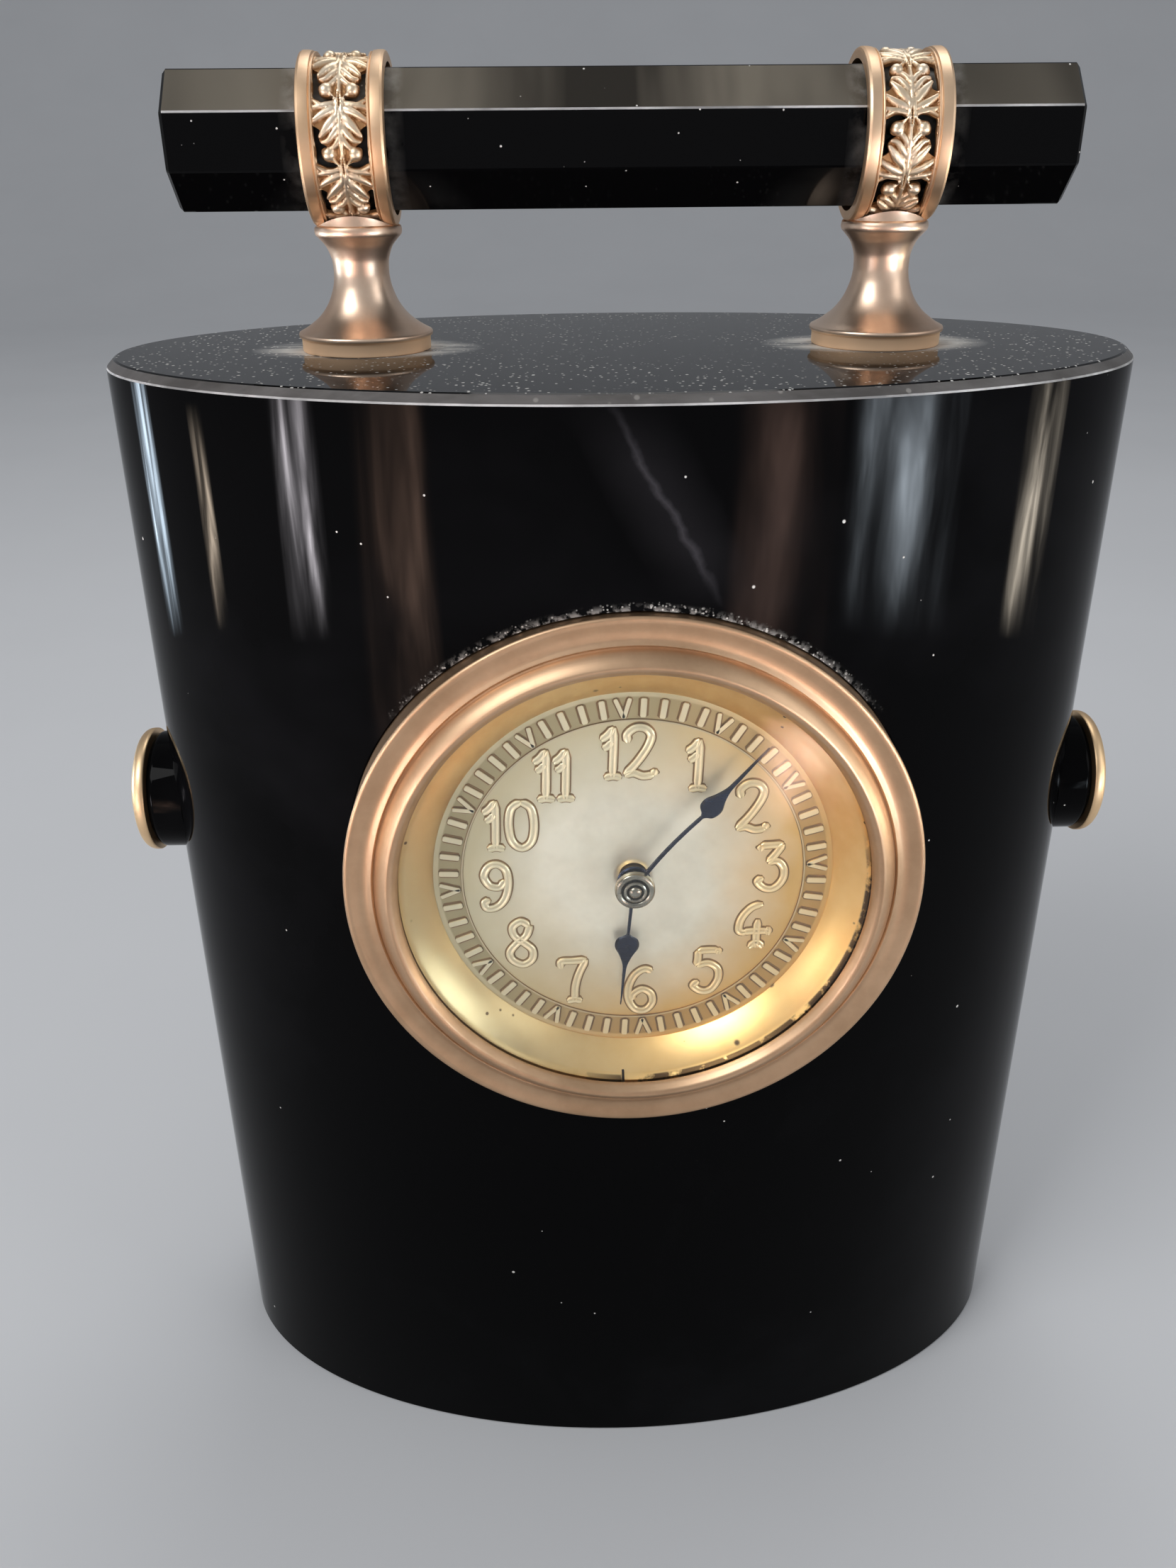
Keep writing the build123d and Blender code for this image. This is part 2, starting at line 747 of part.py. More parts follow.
movement_screw_head = 1.3
movement_screw_top = front_plate_face - 0.7
with BuildPart() as movement_screws:
    for angle in lug_angles:
        place = beside(centre_at, angle, lug_radius)
        steps = [
            (movement_screw_head, movement_screw_top, front_plate_face),
            (screw_radius, front_plate_face, front_plate_back + 1.8),
        ]
        revolve(shaft(steps, place), axis=along_y(place))
        with BuildSketch(facing(movement_screw_top + 0.35, place)):
            Rectangle(2 * movement_screw_head + 0.4, slot_width, rotation=angle)
        extrude(amount=0.4, mode=Mode.SUBTRACT)
movement_screws.part.label = "movement_screws"
export_step(movement_screws.part, "parts/movement_screws.step")

# Barrel: great wheel and drum in one, a pressed cap, the coiled mainspring and the winding arbor
barrel_front = -21.8
barrel_wall = 0.6
great_face = -16.2
great_back = -15.0
barrel_radius = 10.1
arbor_hole = winding_radius + running_fit
with BuildPart() as mainspring_barrel:
    great_wheel = wheel(
        barrel_teeth, great_module, great_back, barrel_at, barrel_angle - 180, bore=arbor_hole
    )
    extrude(great_wheel, amount=great_back - great_face)
    with BuildSketch(facing(great_face, barrel_at)):
        Circle(barrel_radius)
        Circle(barrel_radius - barrel_wall, mode=Mode.SUBTRACT)
    extrude(amount=great_face - barrel_front)
mainspring_barrel.part.label = "mainspring_barrel"
export_step(mainspring_barrel.part, "parts/mainspring_barrel.step")

with BuildPart() as barrel_cap:
    with BuildSketch(facing(barrel_front + barrel_wall, barrel_at)):
        Circle(barrel_radius - barrel_wall)
        Circle(arbor_hole, mode=Mode.SUBTRACT)
    extrude(amount=barrel_wall)
barrel_cap.part.label = "barrel_cap"
export_step(barrel_cap.part, "parts/barrel_cap.step")


# A flat ribbon wound in half-turn arcs, whose radius grows by half the pitch at each
def spiral(inner, pitch, turns, thickness, y, place, start=0.0):
    """A spiral across the axis, as a sketch. It starts at the angle start, nearest its axis."""
    with BuildSketch(facing(y, place, start)) as ribbon:
        with BuildLine():
            for edge in (-thickness / 2, thickness / 2):
                for i in range(2 * turns):
                    middle = (pitch / 2 * (i % 2), 0)
                    CenterArc(middle, inner + i * pitch / 2 + edge, 180 * (i % 2), 180)
            for end in (inner, inner + turns * pitch):
                Line((end - thickness / 2, 0), (end + thickness / 2, 0))
        make_face()
    return ribbon.sketch


def least_gap(inner, pitch, turns, thickness):
    """The least gap between a spiral's turns, from points along its middle line."""
    points_a_turn = 48
    points = []
    for i in range(turns * points_a_turn):
        half_turns = 2 * i // points_a_turn
        radius = inner + half_turns * pitch / 2
        middle = (pitch / 2 * (half_turns % 2), 0)
        points.append(beside(middle, 360 * i / points_a_turn, radius))
    between = [
        hypot(first[0] - second[0], first[1] - second[1])
        for i, first in enumerate(points)
        for second in points[i + points_a_turn // 2 + 1 :]
    ]
    return round(min(between) - thickness, 3)


mainspring_inner = 2.6
mainspring_pitch = 0.95
mainspring_turns = 7
mainspring_thickness = 0.3
mainspring_back = great_face - 0.3
with BuildPart() as mainspring:
    ribbon = spiral(
        mainspring_inner,
        mainspring_pitch,
        mainspring_turns,
        mainspring_thickness,
        mainspring_back,
        barrel_at,
    )
    extrude(ribbon, amount=3.8)
mainspring.part.label = "mainspring"
export_step(mainspring.part, "parts/mainspring.step")
gap = least_gap(mainspring_inner, mainspring_pitch, mainspring_turns, mainspring_thickness)
print("least gap of the mainspring", gap)

arbor_front = front_plate_face + 0.1
arbor_back = back_plate_back - 0.1
shoulder_front = front_plate_back + end_shake
shoulder_back = back_plate_face - end_shake
winding_end = 3.0
with BuildPart() as winding_arbor:
    steps = [
        (winding_pivot_radius, arbor_front, shoulder_front),
        (winding_radius, shoulder_front, barrel_front + 0.9),
        (2 * winding_radius, barrel_front + 0.9, mainspring_back),
        (winding_radius, mainspring_back, winding_end),
    ]
    revolve(shaft(steps, barrel_at), axis=along_y(barrel_at))
winding_arbor.part.label = "winding_arbor"
export_step(winding_arbor.part, "parts/winding_arbor.step")

# Ratchet with saw teeth, its click, and the click's screw and spring
ratchet_root = ratchet_radius - 0.6
ratchet_step = 360 / ratchet_teeth
ratchet_face = back_plate_back + 0.2
ratchet_thickness = 0.8
steep_angle = 286
with BuildPart() as ratchet_wheel:
    with BuildSketch(facing(ratchet_face + ratchet_thickness, barrel_at)):
        with BuildLine():
            saw = []
            for i in range(ratchet_teeth):
                tip = steep_angle + i * ratchet_step
                saw += [beside((0, 0), tip, ratchet_root), beside((0, 0), tip, ratchet_radius)]
            Polyline(saw, close=True)
        make_face()
        Circle(winding_radius, mode=Mode.SUBTRACT)
    extrude(amount=ratchet_thickness)
ratchet_wheel.part.label = "ratchet_wheel"
export_step(ratchet_wheel.part, "parts/ratchet_wheel.step")

click_face = ratchet_face + 0.1
click_thickness = 0.6
click_back = click_face + click_thickness
click_eye = 1.2
click_half_width = 1.1
nose_angle = steep_angle - 0.5
with BuildPart() as click:
    with BuildSketch(facing(click_back)):
        with BuildLine():
            Polyline(
                beside(barrel_at, nose_angle, ratchet_root + 0.12),
                beside(barrel_at, nose_angle, ratchet_radius + 0.6),
                beside(click_at, -50, click_half_width),
                beside(click_at, 130, click_half_width),
                beside(barrel_at, steep_angle - 9, ratchet_radius + 0.2),
                close=True,
            )
        make_face()
        with Locations(click_at):
            Circle(click_eye)
            Circle(screw_radius + 0.05, mode=Mode.SUBTRACT)
    extrude(amount=click_thickness)
click.part.label = "click"
export_step(click.part, "parts/click.step")

with BuildPart() as click_screw:
    head_face = click_back + 0.05
    steps = [
        (screw_radius, back_plate_face, head_face),
        (1.1, head_face, head_face + 0.5),
    ]
    revolve(shaft(steps, click_at), axis=along_y(click_at))
click_screw.part.label = "click_screw"
export_step(click_screw.part, "parts/click_screw.step")

spring_boss_radius = 0.9
with BuildPart() as click_spring:
    with BuildSketch(facing(click_back)):
        with Locations(click_spring_at):
            Circle(spring_boss_radius)
        with BuildLine():
            spring_tip = beside(click_at, -3, 2.4)
            blade = ThreePointArc(click_spring_at, beside(click_at, 3, 4.2), spring_tip)
            offset(blade, amount=0.15)
        make_face()
    extrude(amount=click_thickness)
    with BuildSketch(facing(back_plate_back, click_spring_at)):
        Circle(screw_radius)
    extrude(amount=back_plate_back - back_plate_face)
    with BuildSketch(facing(click_face, click_spring_at)):
        Circle(spring_boss_radius)
    extrude(amount=click_face - back_plate_back)
click_spring.part.label = "click_spring"
export_step(click_spring.part, "parts/click_spring.step")

# Winding key: a hub on the arbor's end with a flat two-lobed wing
key_front = -1.0
key_back = 8.5
key_hub_radius = 1.9
wing_reach = 4.0
wing_y = 10.5
wing_lobe = 3.3
wing_eye = 1.6
wing_thickness = 1.4
with BuildPart() as winding_key:
    revolve(shaft([(key_hub_radius, key_front, key_back)], barrel_at), axis=along_y(barrel_at))
    socket = shaft([(winding_radius, key_front, winding_end)], barrel_at)
    revolve(socket, axis=along_y(barrel_at), mode=Mode.SUBTRACT)
    with BuildSketch(turning(barrel_at).offset(-wing_thickness / 2)):
        with Locations((-wing_reach, wing_y), (wing_reach, wing_y)):
            Circle(wing_lobe)
        make_hull()
        with Locations((-wing_reach, wing_y), (wing_reach, wing_y)):
            Circle(wing_eye, mode=Mode.SUBTRACT)
    extrude(amount=wing_thickness)
winding_key.part.label = "winding_key"
export_step(winding_key.part, "parts/winding_key.step")

# Centre arbor: it carries the centre wheel, the cannon pinion and, behind, the setting knob
knob_back = 8.0
arbor_nose = -32.2
with BuildPart() as centre_arbor:
    steps = [
        (centre_pivot_radius, arbor_nose, shoulder_front),
        (centre_arbor_radius, shoulder_front, shoulder_back),
        (centre_pivot_radius, shoulder_back, knob_back),
    ]
    revolve(shaft(steps), axis=along_y())
    leaves = pinion(centre_leaves, great_module, centre_pinion_back, centre_at, barrel_angle)
    extrude(leaves, amount=3.8)
centre_arbor.part.label = "centre_arbor"
export_step(centre_arbor.part, "parts/centre_arbor.step")

with BuildPart() as centre_wheel:
    outline = wheel(
        centre_teeth,
        centre_module,
        centre_wheel_back,
        centre_at,
        third_angle,
        rim=1.1,
        hub=2.4,
        bore=centre_arbor_radius,
    )
    extrude(outline, amount=0.8)
centre_wheel.part.label = "centre_wheel"
export_step(centre_wheel.part, "parts/centre_wheel.step")

knob_radius = 4.2
knob_thickness = 2.6
with BuildPart() as set_knob:
    with BuildSketch(facing(knob_back)):
        Circle(knob_radius)
        with PolarLocations(knob_radius + 0.2, 18):
            Circle(0.4, mode=Mode.SUBTRACT)
        Circle(centre_pivot_radius, mode=Mode.SUBTRACT)
    extrude(amount=knob_thickness)
    neck = shaft([(2.0, 1.5, knob_back - knob_thickness)], bore=centre_pivot_radius)
    revolve(neck, axis=along_y())
set_knob.part.label = "set_knob"
export_step(set_knob.part, "parts/set_knob.step")

# Third, fourth and escape arbors. Each wheel meshes with the next arbor's pinion.
third_arbor_radius = 0.7
fourth_arbor_radius = 0.6
with BuildPart() as third_arbor:
    steps = [
        (pivot_radius, arbor_front, shoulder_front),
        (third_arbor_radius, shoulder_front, shoulder_back),
        (pivot_radius, shoulder_back, arbor_back),
    ]
    revolve(shaft(steps, third_at), axis=along_y(third_at))
    leaves = pinion(third_leaves, centre_module, third_pinion_back, third_at, third_angle + 180)
    extrude(leaves, amount=pinion_length + 0.2)
third_arbor.part.label = "third_arbor"
export_step(third_arbor.part, "parts/third_arbor.step")

with BuildPart() as third_wheel:
    outline = wheel(
        third_teeth,
        third_module,
        third_wheel_back,
        third_at,
        fourth_angle,
        rim=1.0,
        hub=2.0,
        bore=third_arbor_radius,
    )
    extrude(outline, amount=wheel_thickness)
third_wheel.part.label = "third_wheel"
export_step(third_wheel.part, "parts/third_wheel.step")

with BuildPart() as fourth_arbor:
    steps = [
        (pivot_radius, arbor_front, shoulder_front),
        (fourth_arbor_radius, shoulder_front, shoulder_back),
        (pivot_radius, shoulder_back, arbor_back),
    ]
    revolve(shaft(steps, fourth_at), axis=along_y(fourth_at))
    leaves = pinion(fourth_leaves, third_module, fourth_pinion_back, fourth_at, fourth_angle + 180)
    extrude(leaves, amount=pinion_length)
fourth_arbor.part.label = "fourth_arbor"
export_step(fourth_arbor.part, "parts/fourth_arbor.step")

with BuildPart() as fourth_wheel:
    outline = wheel(
        fourth_teeth,
        fourth_module,
        fourth_wheel_back,
        fourth_at,
        escape_angle,
        rim=0.9,
        hub=1.8,
        bore=fourth_arbor_radius,
    )
    extrude(outline, amount=wheel_thickness)
fourth_wheel.part.label = "fourth_wheel"
export_step(fourth_wheel.part, "parts/fourth_wheel.step")

fine_steps = [
    (fine_pivot_radius, arbor_front, shoulder_front),
    (fine_arbor_radius, shoulder_front, shoulder_back),
    (fine_pivot_radius, shoulder_back, arbor_back),
]
with BuildPart() as escape_arbor:
    revolve(shaft(fine_steps, escape_at), axis=along_y(escape_at))
    leaves = pinion(escape_leaves, fourth_module, escape_pinion_back, escape_at, escape_angle + 180)
    extrude(leaves, amount=pinion_length)
escape_arbor.part.label = "escape_arbor"
export_step(escape_arbor.part, "parts/escape_arbor.step")

# Escapement: a pin-pallet lever, whose two pins stand a quarter pitch from a tooth at mid swing
pin_span = 60
pallet_pin_radius = 0.15
pin_circle = escape_radius + pallet_pin_radius + 0.05
escape_pitch = 360 / escape_teeth
escape_root = escape_radius - 1.0
with BuildPart() as escape_wheel:
    with BuildSketch(facing(escape_wheel_back, escape_at)):
        with BuildLine():
            points = []
            for i in range(escape_teeth):
                tooth = pallet_angle + pin_span / 2 - escape_pitch / 4 + i * escape_pitch
                points += [
                    beside((0, 0), tooth - 3.4, escape_root),
                    beside((0, 0), tooth - 1.0, escape_radius),
                    beside((0, 0), tooth + 1.0, escape_radius),
                    beside((0, 0), tooth + 3.4, escape_root),
                ]
            Polyline(points, close=True)
        make_face()
        Circle(escape_root - 0.7, mode=Mode.SUBTRACT)
        Circle(1.1)
        with PolarLocations(0, 4):
            with Locations((escape_root / 2 - 0.1, 0)):
                Rectangle(escape_root - 0.2, 0.5)
        Circle(fine_arbor_radius, mode=Mode.SUBTRACT)
    extrude(amount=wheel_thickness)
escape_wheel.part.label = "escape_wheel"
export_step(escape_wheel.part, "parts/escape_wheel.step")

lever_back = -19.3
lever_thickness = 0.6
lever_boss = 0.9
lever_width = 0.6
pin_back = -17.9
pin_boss = 0.4
impulse_reach = 1.6
impulse_pin_radius = 0.2
fork_tip = balance_distance - impulse_reach - 0.1
fork_slot = 1.0
pin_places = [beside(escape_at, pallet_angle + side * pin_span / 2, pin_circle) for side in (-1, 1)]
with BuildPart() as pallet_lever:
    with BuildSketch(facing(lever_back)):
        with Locations(pallet_at):
            Circle(lever_boss)
        for place in pin_places:
            add(strap(pallet_at, place, lever_width))
            with Locations(place):
                Circle(pin_boss)
        add(strap(pallet_at, beside(pallet_at, balance_angle, fork_tip - 0.5), lever_width + 0.1))
        fork_root = beside(pallet_at, balance_angle, fork_tip - 0.9)
        fork_end = beside(pallet_at, balance_angle, fork_tip)
        add(strap(fork_root, fork_end, fork_slot + lever_width))
        slot_root = beside(pallet_at, balance_angle, fork_tip - 0.4)
        slot_end = beside(pallet_at, balance_angle, fork_tip + 1)
        add(strap(slot_root, slot_end, fork_slot), mode=Mode.SUBTRACT)
        with Locations(pallet_at):
            Circle(fine_arbor_radius, mode=Mode.SUBTRACT)
    extrude(amount=lever_thickness)
    with BuildSketch(facing(pin_back)):
        with Locations(*pin_places):
            Circle(pallet_pin_radius)
    extrude(amount=pin_back - lever_back)
pallet_lever.part.label = "pallet_lever"
export_step(pallet_lever.part, "parts/pallet_lever.step")

with BuildPart() as pallet_arbor:
    revolve(shaft(fine_steps, pallet_at), axis=along_y(pallet_at))
pallet_arbor.part.label = "pallet_arbor"
export_step(pallet_arbor.part, "parts/pallet_arbor.step")

# Balance behind the back plate, with its cock, spiral spring and regulator
cock_face = -3.4
cock_back = -2.6
rim_face = -6.0
rim_back = -5.0
roller_front = -18.9
roller_back = -18.3
roller_radius = 2.1
staff_radius = 0.6
spring_collet_radius = 1.1
spring_collet_front = -4.8
spring_collet_back = -4.0
with BuildPart() as balance_staff:
    steps = [
        (pivot_radius, arbor_front, shoulder_front),
        (staff_radius, shoulder_front, roller_front),
        (roller_radius, roller_front, roller_back),
        (staff_radius, roller_back, spring_collet_front),
        (spring_collet_radius, spring_collet_front, spring_collet_back),
        (staff_radius, spring_collet_back, cock_face - end_shake),
        (pivot_radius, cock_face - end_shake, cock_back - 0.1),
    ]
    revolve(shaft(steps, balance_at), axis=along_y(balance_at))
    impulse_at = beside(balance_at, balance_angle - 180, impulse_reach)
    with BuildSketch(facing(roller_front, impulse_at)):
        Circle(impulse_pin_radius)
    extrude(amount=1.3)
balance_staff.part.label = "balance_staff"
export_step(balance_staff.part, "parts/balance_staff.step")

balance_rim = 1.2
with BuildPart() as balance_wheel:
    with BuildSketch(facing(rim_back, balance_at)):
        Circle(balance_radius)
        Circle(balance_radius - balance_rim, mode=Mode.SUBTRACT)
        Rectangle(2 * balance_radius - balance_rim, balance_rim, rotation=balance_angle)
        Circle(1.4)
        Circle(staff_radius, mode=Mode.SUBTRACT)
    extrude(amount=rim_back - rim_face)
balance_wheel.part.label = "balance_wheel"
export_step(balance_wheel.part, "parts/balance_wheel.step")

hairspring_inner = 1.5
hairspring_pitch = 0.62
hairspring_turns = 6
hairspring_thickness = 0.12
hairspring_back = -4.3
hairspring_outer = hairspring_inner + hairspring_turns * hairspring_pitch
stud_angle = 60
with BuildPart() as hairspring:
    ribbon = spiral(
        hairspring_inner,
        hairspring_pitch,
        hairspring_turns,
        hairspring_thickness,
        hairspring_back,
        balance_at,
        start=stud_angle,
    )
    extrude(ribbon, amount=0.3)
hairspring.part.label = "hairspring"
export_step(hairspring.part, "parts/hairspring.step")
gap = least_gap(hairspring_inner, hairspring_pitch, hairspring_turns, hairspring_thickness)
print("least gap of the hairspring", gap)

cock_foot_radius = 2.0
cock_head_radius = 1.9
cock_boss_radius = 1.4
cock_boss_back = cock_back + 0.6
with BuildPart() as balance_cock:
    with BuildSketch(facing(cock_back)):
        with Locations(cock_foot_at):
            Circle(cock_foot_radius)
        with Locations(balance_at):
            Circle(cock_head_radius)
        make_hull()
    extrude(amount=cock_back - cock_face)
    with BuildSketch(facing(cock_boss_back, balance_at)):
        Circle(cock_boss_radius)
    extrude(amount=cock_boss_back - cock_back)
    with BuildSketch(facing(cock_face, cock_foot_at)):
        Circle(cock_foot_radius)
    extrude(amount=cock_face - back_plate_back)
    stud_at = beside(balance_at, stud_angle + 4.0, hairspring_outer + 0.02)
    with BuildSketch(facing(cock_face, stud_at)):
        Circle(0.35)
    extrude(amount=1.3)
    with BuildSketch(facing(cock_boss_back, balance_at)):
        Circle(pivot_hole)
    extrude(amount=cock_boss_back - cock_face, mode=Mode.SUBTRACT)
    with BuildSketch(facing(cock_back, cock_foot_at)):
        Circle(screw_radius)
    extrude(amount=cock_back - back_plate_back, mode=Mode.SUBTRACT)
balance_cock.part.label = "balance_cock"
export_step(balance_cock.part, "parts/balance_cock.step")

cock_screw_head = 1.3
cock_screw_top = cock_back + 0.7
with BuildPart() as cock_screw:
    steps = [
        (screw_radius, back_plate_face, cock_back),
        (cock_screw_head, cock_back, cock_screw_top),
    ]
    revolve(shaft(steps, cock_foot_at), axis=along_y(cock_foot_at))
    with BuildSketch(facing(cock_screw_top, cock_foot_at)):
        Rectangle(2 * cock_screw_head + 0.4, slot_width, rotation=20)
    extrude(amount=0.35, mode=Mode.SUBTRACT)
cock_screw.part.label = "cock_screw"
export_step(cock_screw.part, "parts/cock_screw.step")

regulator_back = cock_back + 0.5
regulator_angle = 150
regulator_reach = 9.5
curb_angle = regulator_angle + 180
curb_places = [
    beside(balance_at, curb_angle, hairspring_outer - 0.6),
    beside(balance_at, curb_angle, hairspring_outer),
]
with BuildPart() as regulator_lever:
    with BuildSketch(facing(regulator_back)):
        with Locations(balance_at):
            Circle(cock_boss_radius + 1.0)
        regulator_tip = beside(balance_at, regulator_angle, regulator_reach)
        add(strap(balance_at, regulator_tip, 0.8))
        add(strap(balance_at, beside(balance_at, curb_angle, 5.6), 1.0))
        with Locations(regulator_tip):
            Circle(0.8)
        with Locations(balance_at):
            Circle(cock_boss_radius + 0.05, mode=Mode.SUBTRACT)
    extrude(amount=0.4)
    with BuildSketch(facing(regulator_back - 0.4)):
        with Locations(*curb_places):
            Circle(0.1)
    extrude(amount=2.2)
regulator_lever.part.label = "regulator_lever"
export_step(regulator_lever.part, "parts/regulator_lever.step")

# Motion work under the dial: cannon pinion, minute wheel on its stud, and hour wheel
cannon_back = -24.3
cannon_front = -31.8
cannon_radius = 0.95
with BuildPart() as cannon_pinion:
    leaves = pinion(
        cannon_leaves, cannon_module, cannon_back, centre_at, minute_angle, bore=centre_pivot_radius
    )
    extrude(leaves, amount=0.9)
    pipe = shaft([(cannon_radius, cannon_front, cannon_back - 0.7)], bore=centre_pivot_radius)
    revolve(pipe, axis=along_y())
cannon_pinion.part.label = "cannon_pinion"
export_step(cannon_pinion.part, "parts/cannon_pinion.step")

minute_wheel_back = -24.5
minute_stud_radius = 0.45
with BuildPart() as minute_wheel:
    towards_centre = minute_angle + 180
    outline = wheel(
        minute_teeth,
        cannon_module,
        minute_wheel_back,
        minute_at,
        towards_centre,
        rim=0.8,
        hub=1.6,
        spokes=3,
        bore=small_screw_radius,
    )
    extrude(outline, amount=wheel_thickness)
    leaves = pinion(
        minute_leaves,
        hour_module,
        minute_wheel_back - 0.4,
        minute_at,
        towards_centre,
        bore=small_screw_radius,
    )
    extrude(leaves, amount=2.6)
minute_wheel.part.label = "minute_wheel"
export_step(minute_wheel.part, "parts/minute_wheel.step")

stud_head_front = -28.1
stud_head_back = -27.7
with BuildPart() as minute_wheel_stud:
    steps = [
        (0.8, stud_head_front, stud_head_back),
        (minute_stud_radius, stud_head_back, front_plate_face),
        (small_screw_radius, front_plate_face, front_plate_back),
    ]
    revolve(shaft(steps, minute_at), axis=along_y(minute_at))
minute_wheel_stud.part.label = "minute_wheel_stud"
export_step(minute_wheel_stud.part, "parts/minute_wheel_stud.step")

hour_wheel_back = -26.6
hour_pipe_front = -30.6
hour_pipe_bore = 1.02
hour_pipe_radius = 1.4
with BuildPart() as hour_wheel:
    outline = wheel(
        hour_teeth,
        hour_module,
        hour_wheel_back,
        centre_at,
        minute_angle,
        rim=0.8,
        hub=2.0,
        bore=hour_pipe_bore,
    )
    extrude(outline, amount=wheel_thickness)
    pipe = shaft([(hour_pipe_radius, hour_pipe_front, hour_wheel_back)], bore=hour_pipe_bore)
    revolve(pipe, axis=along_y())
hour_wheel.part.label = "hour_wheel"
export_step(hour_wheel.part, "parts/hour_wheel.step")


# Hands: a thin stem, a pear-shaped bulb and a long taper, turned clockwise from twelve
def hand(y, clockwise, reach, bulb, bulb_half, collet, bore):
    """A hand's outline at that depth. The bulb is where it is widest along the hand."""
    with BuildSketch(facing(y, turned=-clockwise)) as outline:
        with BuildLine():
            stem = Line((0.24, 0), (0.2, bulb - 1.5))
            shoulder = ThreePointArc(stem @ 1, (bulb_half * 0.78, bulb - 0.9), (bulb_half, bulb))
            taper = ThreePointArc(shoulder @ 1, (bulb_half * 0.6, bulb + 1.4), (0.28, bulb + 2.8))
            Polyline(taper @ 1, (0.07, reach), (0, reach))
            mirror(about=Plane.YZ)
            Line((-0.24, 0), (0.24, 0))
        make_face()
        Circle(collet)
        Circle(bore, mode=Mode.SUBTRACT)
    return outline.sketch


hand_thickness = 0.35
with BuildPart() as hour_hand:
    outline = hand(
        y=-30.1,
        clockwise=185,
        reach=17.3,
        bulb=9.1,
        bulb_half=1.45,
        collet=2.0,
        bore=hour_pipe_radius,
    )
    extrude(outline, amount=hand_thickness)
hour_hand.part.label = "hour_hand"
export_step(hour_hand.part, "parts/hour_hand.step")

with BuildPart() as minute_hand:
    outline = hand(
        y=-31.4,
        clockwise=40,
        reach=22.8,
        bulb=13.6,
        bulb_half=1.3,
        collet=1.9,
        bore=cannon_radius,
    )
    extrude(outline, amount=hand_thickness)
minute_hand.part.label = "minute_hand"
export_step(minute_hand.part, "parts/minute_hand.step")

collet_front = -33.0
collet_step = -32.5
with BuildPart() as hand_collet:
    steps = [(1.0, collet_front, collet_step), (2.3, collet_step, cannon_front)]
    revolve(shaft(steps), axis=along_y())
    nose_hole = shaft([(centre_pivot_radius, arbor_nose, cannon_front)])
    revolve(nose_hole, axis=along_y(), mode=Mode.SUBTRACT)
hand_collet.part.label = "hand_collet"
export_step(hand_collet.part, "parts/hand_collet.step")
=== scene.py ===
from collections import Counter
from math import atan2, cos, hypot, pi, radians, sin, sqrt

import bmesh
import bpy
import numpy as np
from mathutils import Matrix, Vector
from mathutils.geometry import delaunay_2d_cdt


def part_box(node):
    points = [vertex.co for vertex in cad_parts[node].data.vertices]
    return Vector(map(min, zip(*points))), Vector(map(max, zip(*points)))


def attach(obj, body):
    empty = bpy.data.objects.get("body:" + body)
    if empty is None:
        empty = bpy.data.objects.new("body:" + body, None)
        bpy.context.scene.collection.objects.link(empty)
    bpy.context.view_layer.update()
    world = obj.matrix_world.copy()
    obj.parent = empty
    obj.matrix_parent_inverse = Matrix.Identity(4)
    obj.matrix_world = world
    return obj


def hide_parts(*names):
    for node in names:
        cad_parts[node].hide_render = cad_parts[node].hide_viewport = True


# Desk clock: the looks of an elliptical column of polished black stone with a gilt timepiece.
# Lengths are in millimetres, in the frame's own axes, and become metres where a mesh is made.
MM = 0.001

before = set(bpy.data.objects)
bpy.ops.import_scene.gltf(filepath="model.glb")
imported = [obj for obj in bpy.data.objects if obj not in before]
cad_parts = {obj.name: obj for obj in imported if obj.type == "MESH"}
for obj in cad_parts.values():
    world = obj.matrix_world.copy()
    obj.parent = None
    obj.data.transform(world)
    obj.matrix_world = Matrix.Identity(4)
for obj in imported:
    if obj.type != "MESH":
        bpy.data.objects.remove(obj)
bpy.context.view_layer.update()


# Sizes read from the frame
def low(node, axis):
    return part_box(node)[0][axis] / MM


def high(node, axis):
    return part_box(node)[1][axis] / MM


def centre(node, axis):
    return (low(node, axis) + high(node, axis)) / 2


X, Y, Z = 0, 1, 2
half_width = high("stone_body", X)
half_depth = high("stone_body", Y)
body_height = high("stone_body", Z)
dial_z = centre("bezel", Z)
clock_axis = (0, 0, dial_z)
bezel_radius = high("bezel", X)
bar_z = centre("handle_bar", Z)
bar_half_flats = high("handle_bar", Y)
bar_half_length = high("handle_bar", X)
post_x = centre("right_handle_post", X)
post_base_radius = high("right_handle_post", Y)
collar_half = (high("right_pierced_collar", X) - low("right_pierced_collar", X)) / 2
collar_outer = high("right_pierced_collar", Y)
boss_z = centre("left_boss_cap", Z)
cap_radius = high("left_boss_cap", Y)
cap_outer_x = high("right_boss_cap", X) - 0.03
roundel_radius = high("right_side_roundel", Y)
roundel_outer_x = high("right_side_roundel", X)
glass_apex = low("dial_glass", Y)
dial_front = low("sight_ring", Y) + 3.6

# Sizes that the frame's boxes don't give
top_chamfer = 1.0
bore_radius = 28.4
front_seat = -26.0
rear_seat = 27.2
rear_ring_pocket = 31.4
boss_seat_x = 58.2
stud_radius = 1.5
glass_radius = 27.9
glass_opening = 27.1
glass_front = -33.5
glass_thickness = 0.9
sight_radius = 23.4
track_inner = 20.2
track_outer = 22.7
dial_turn = 3.5
collar_inner = 7.6

SIDES = ((-1, "left"), (1, "right"))


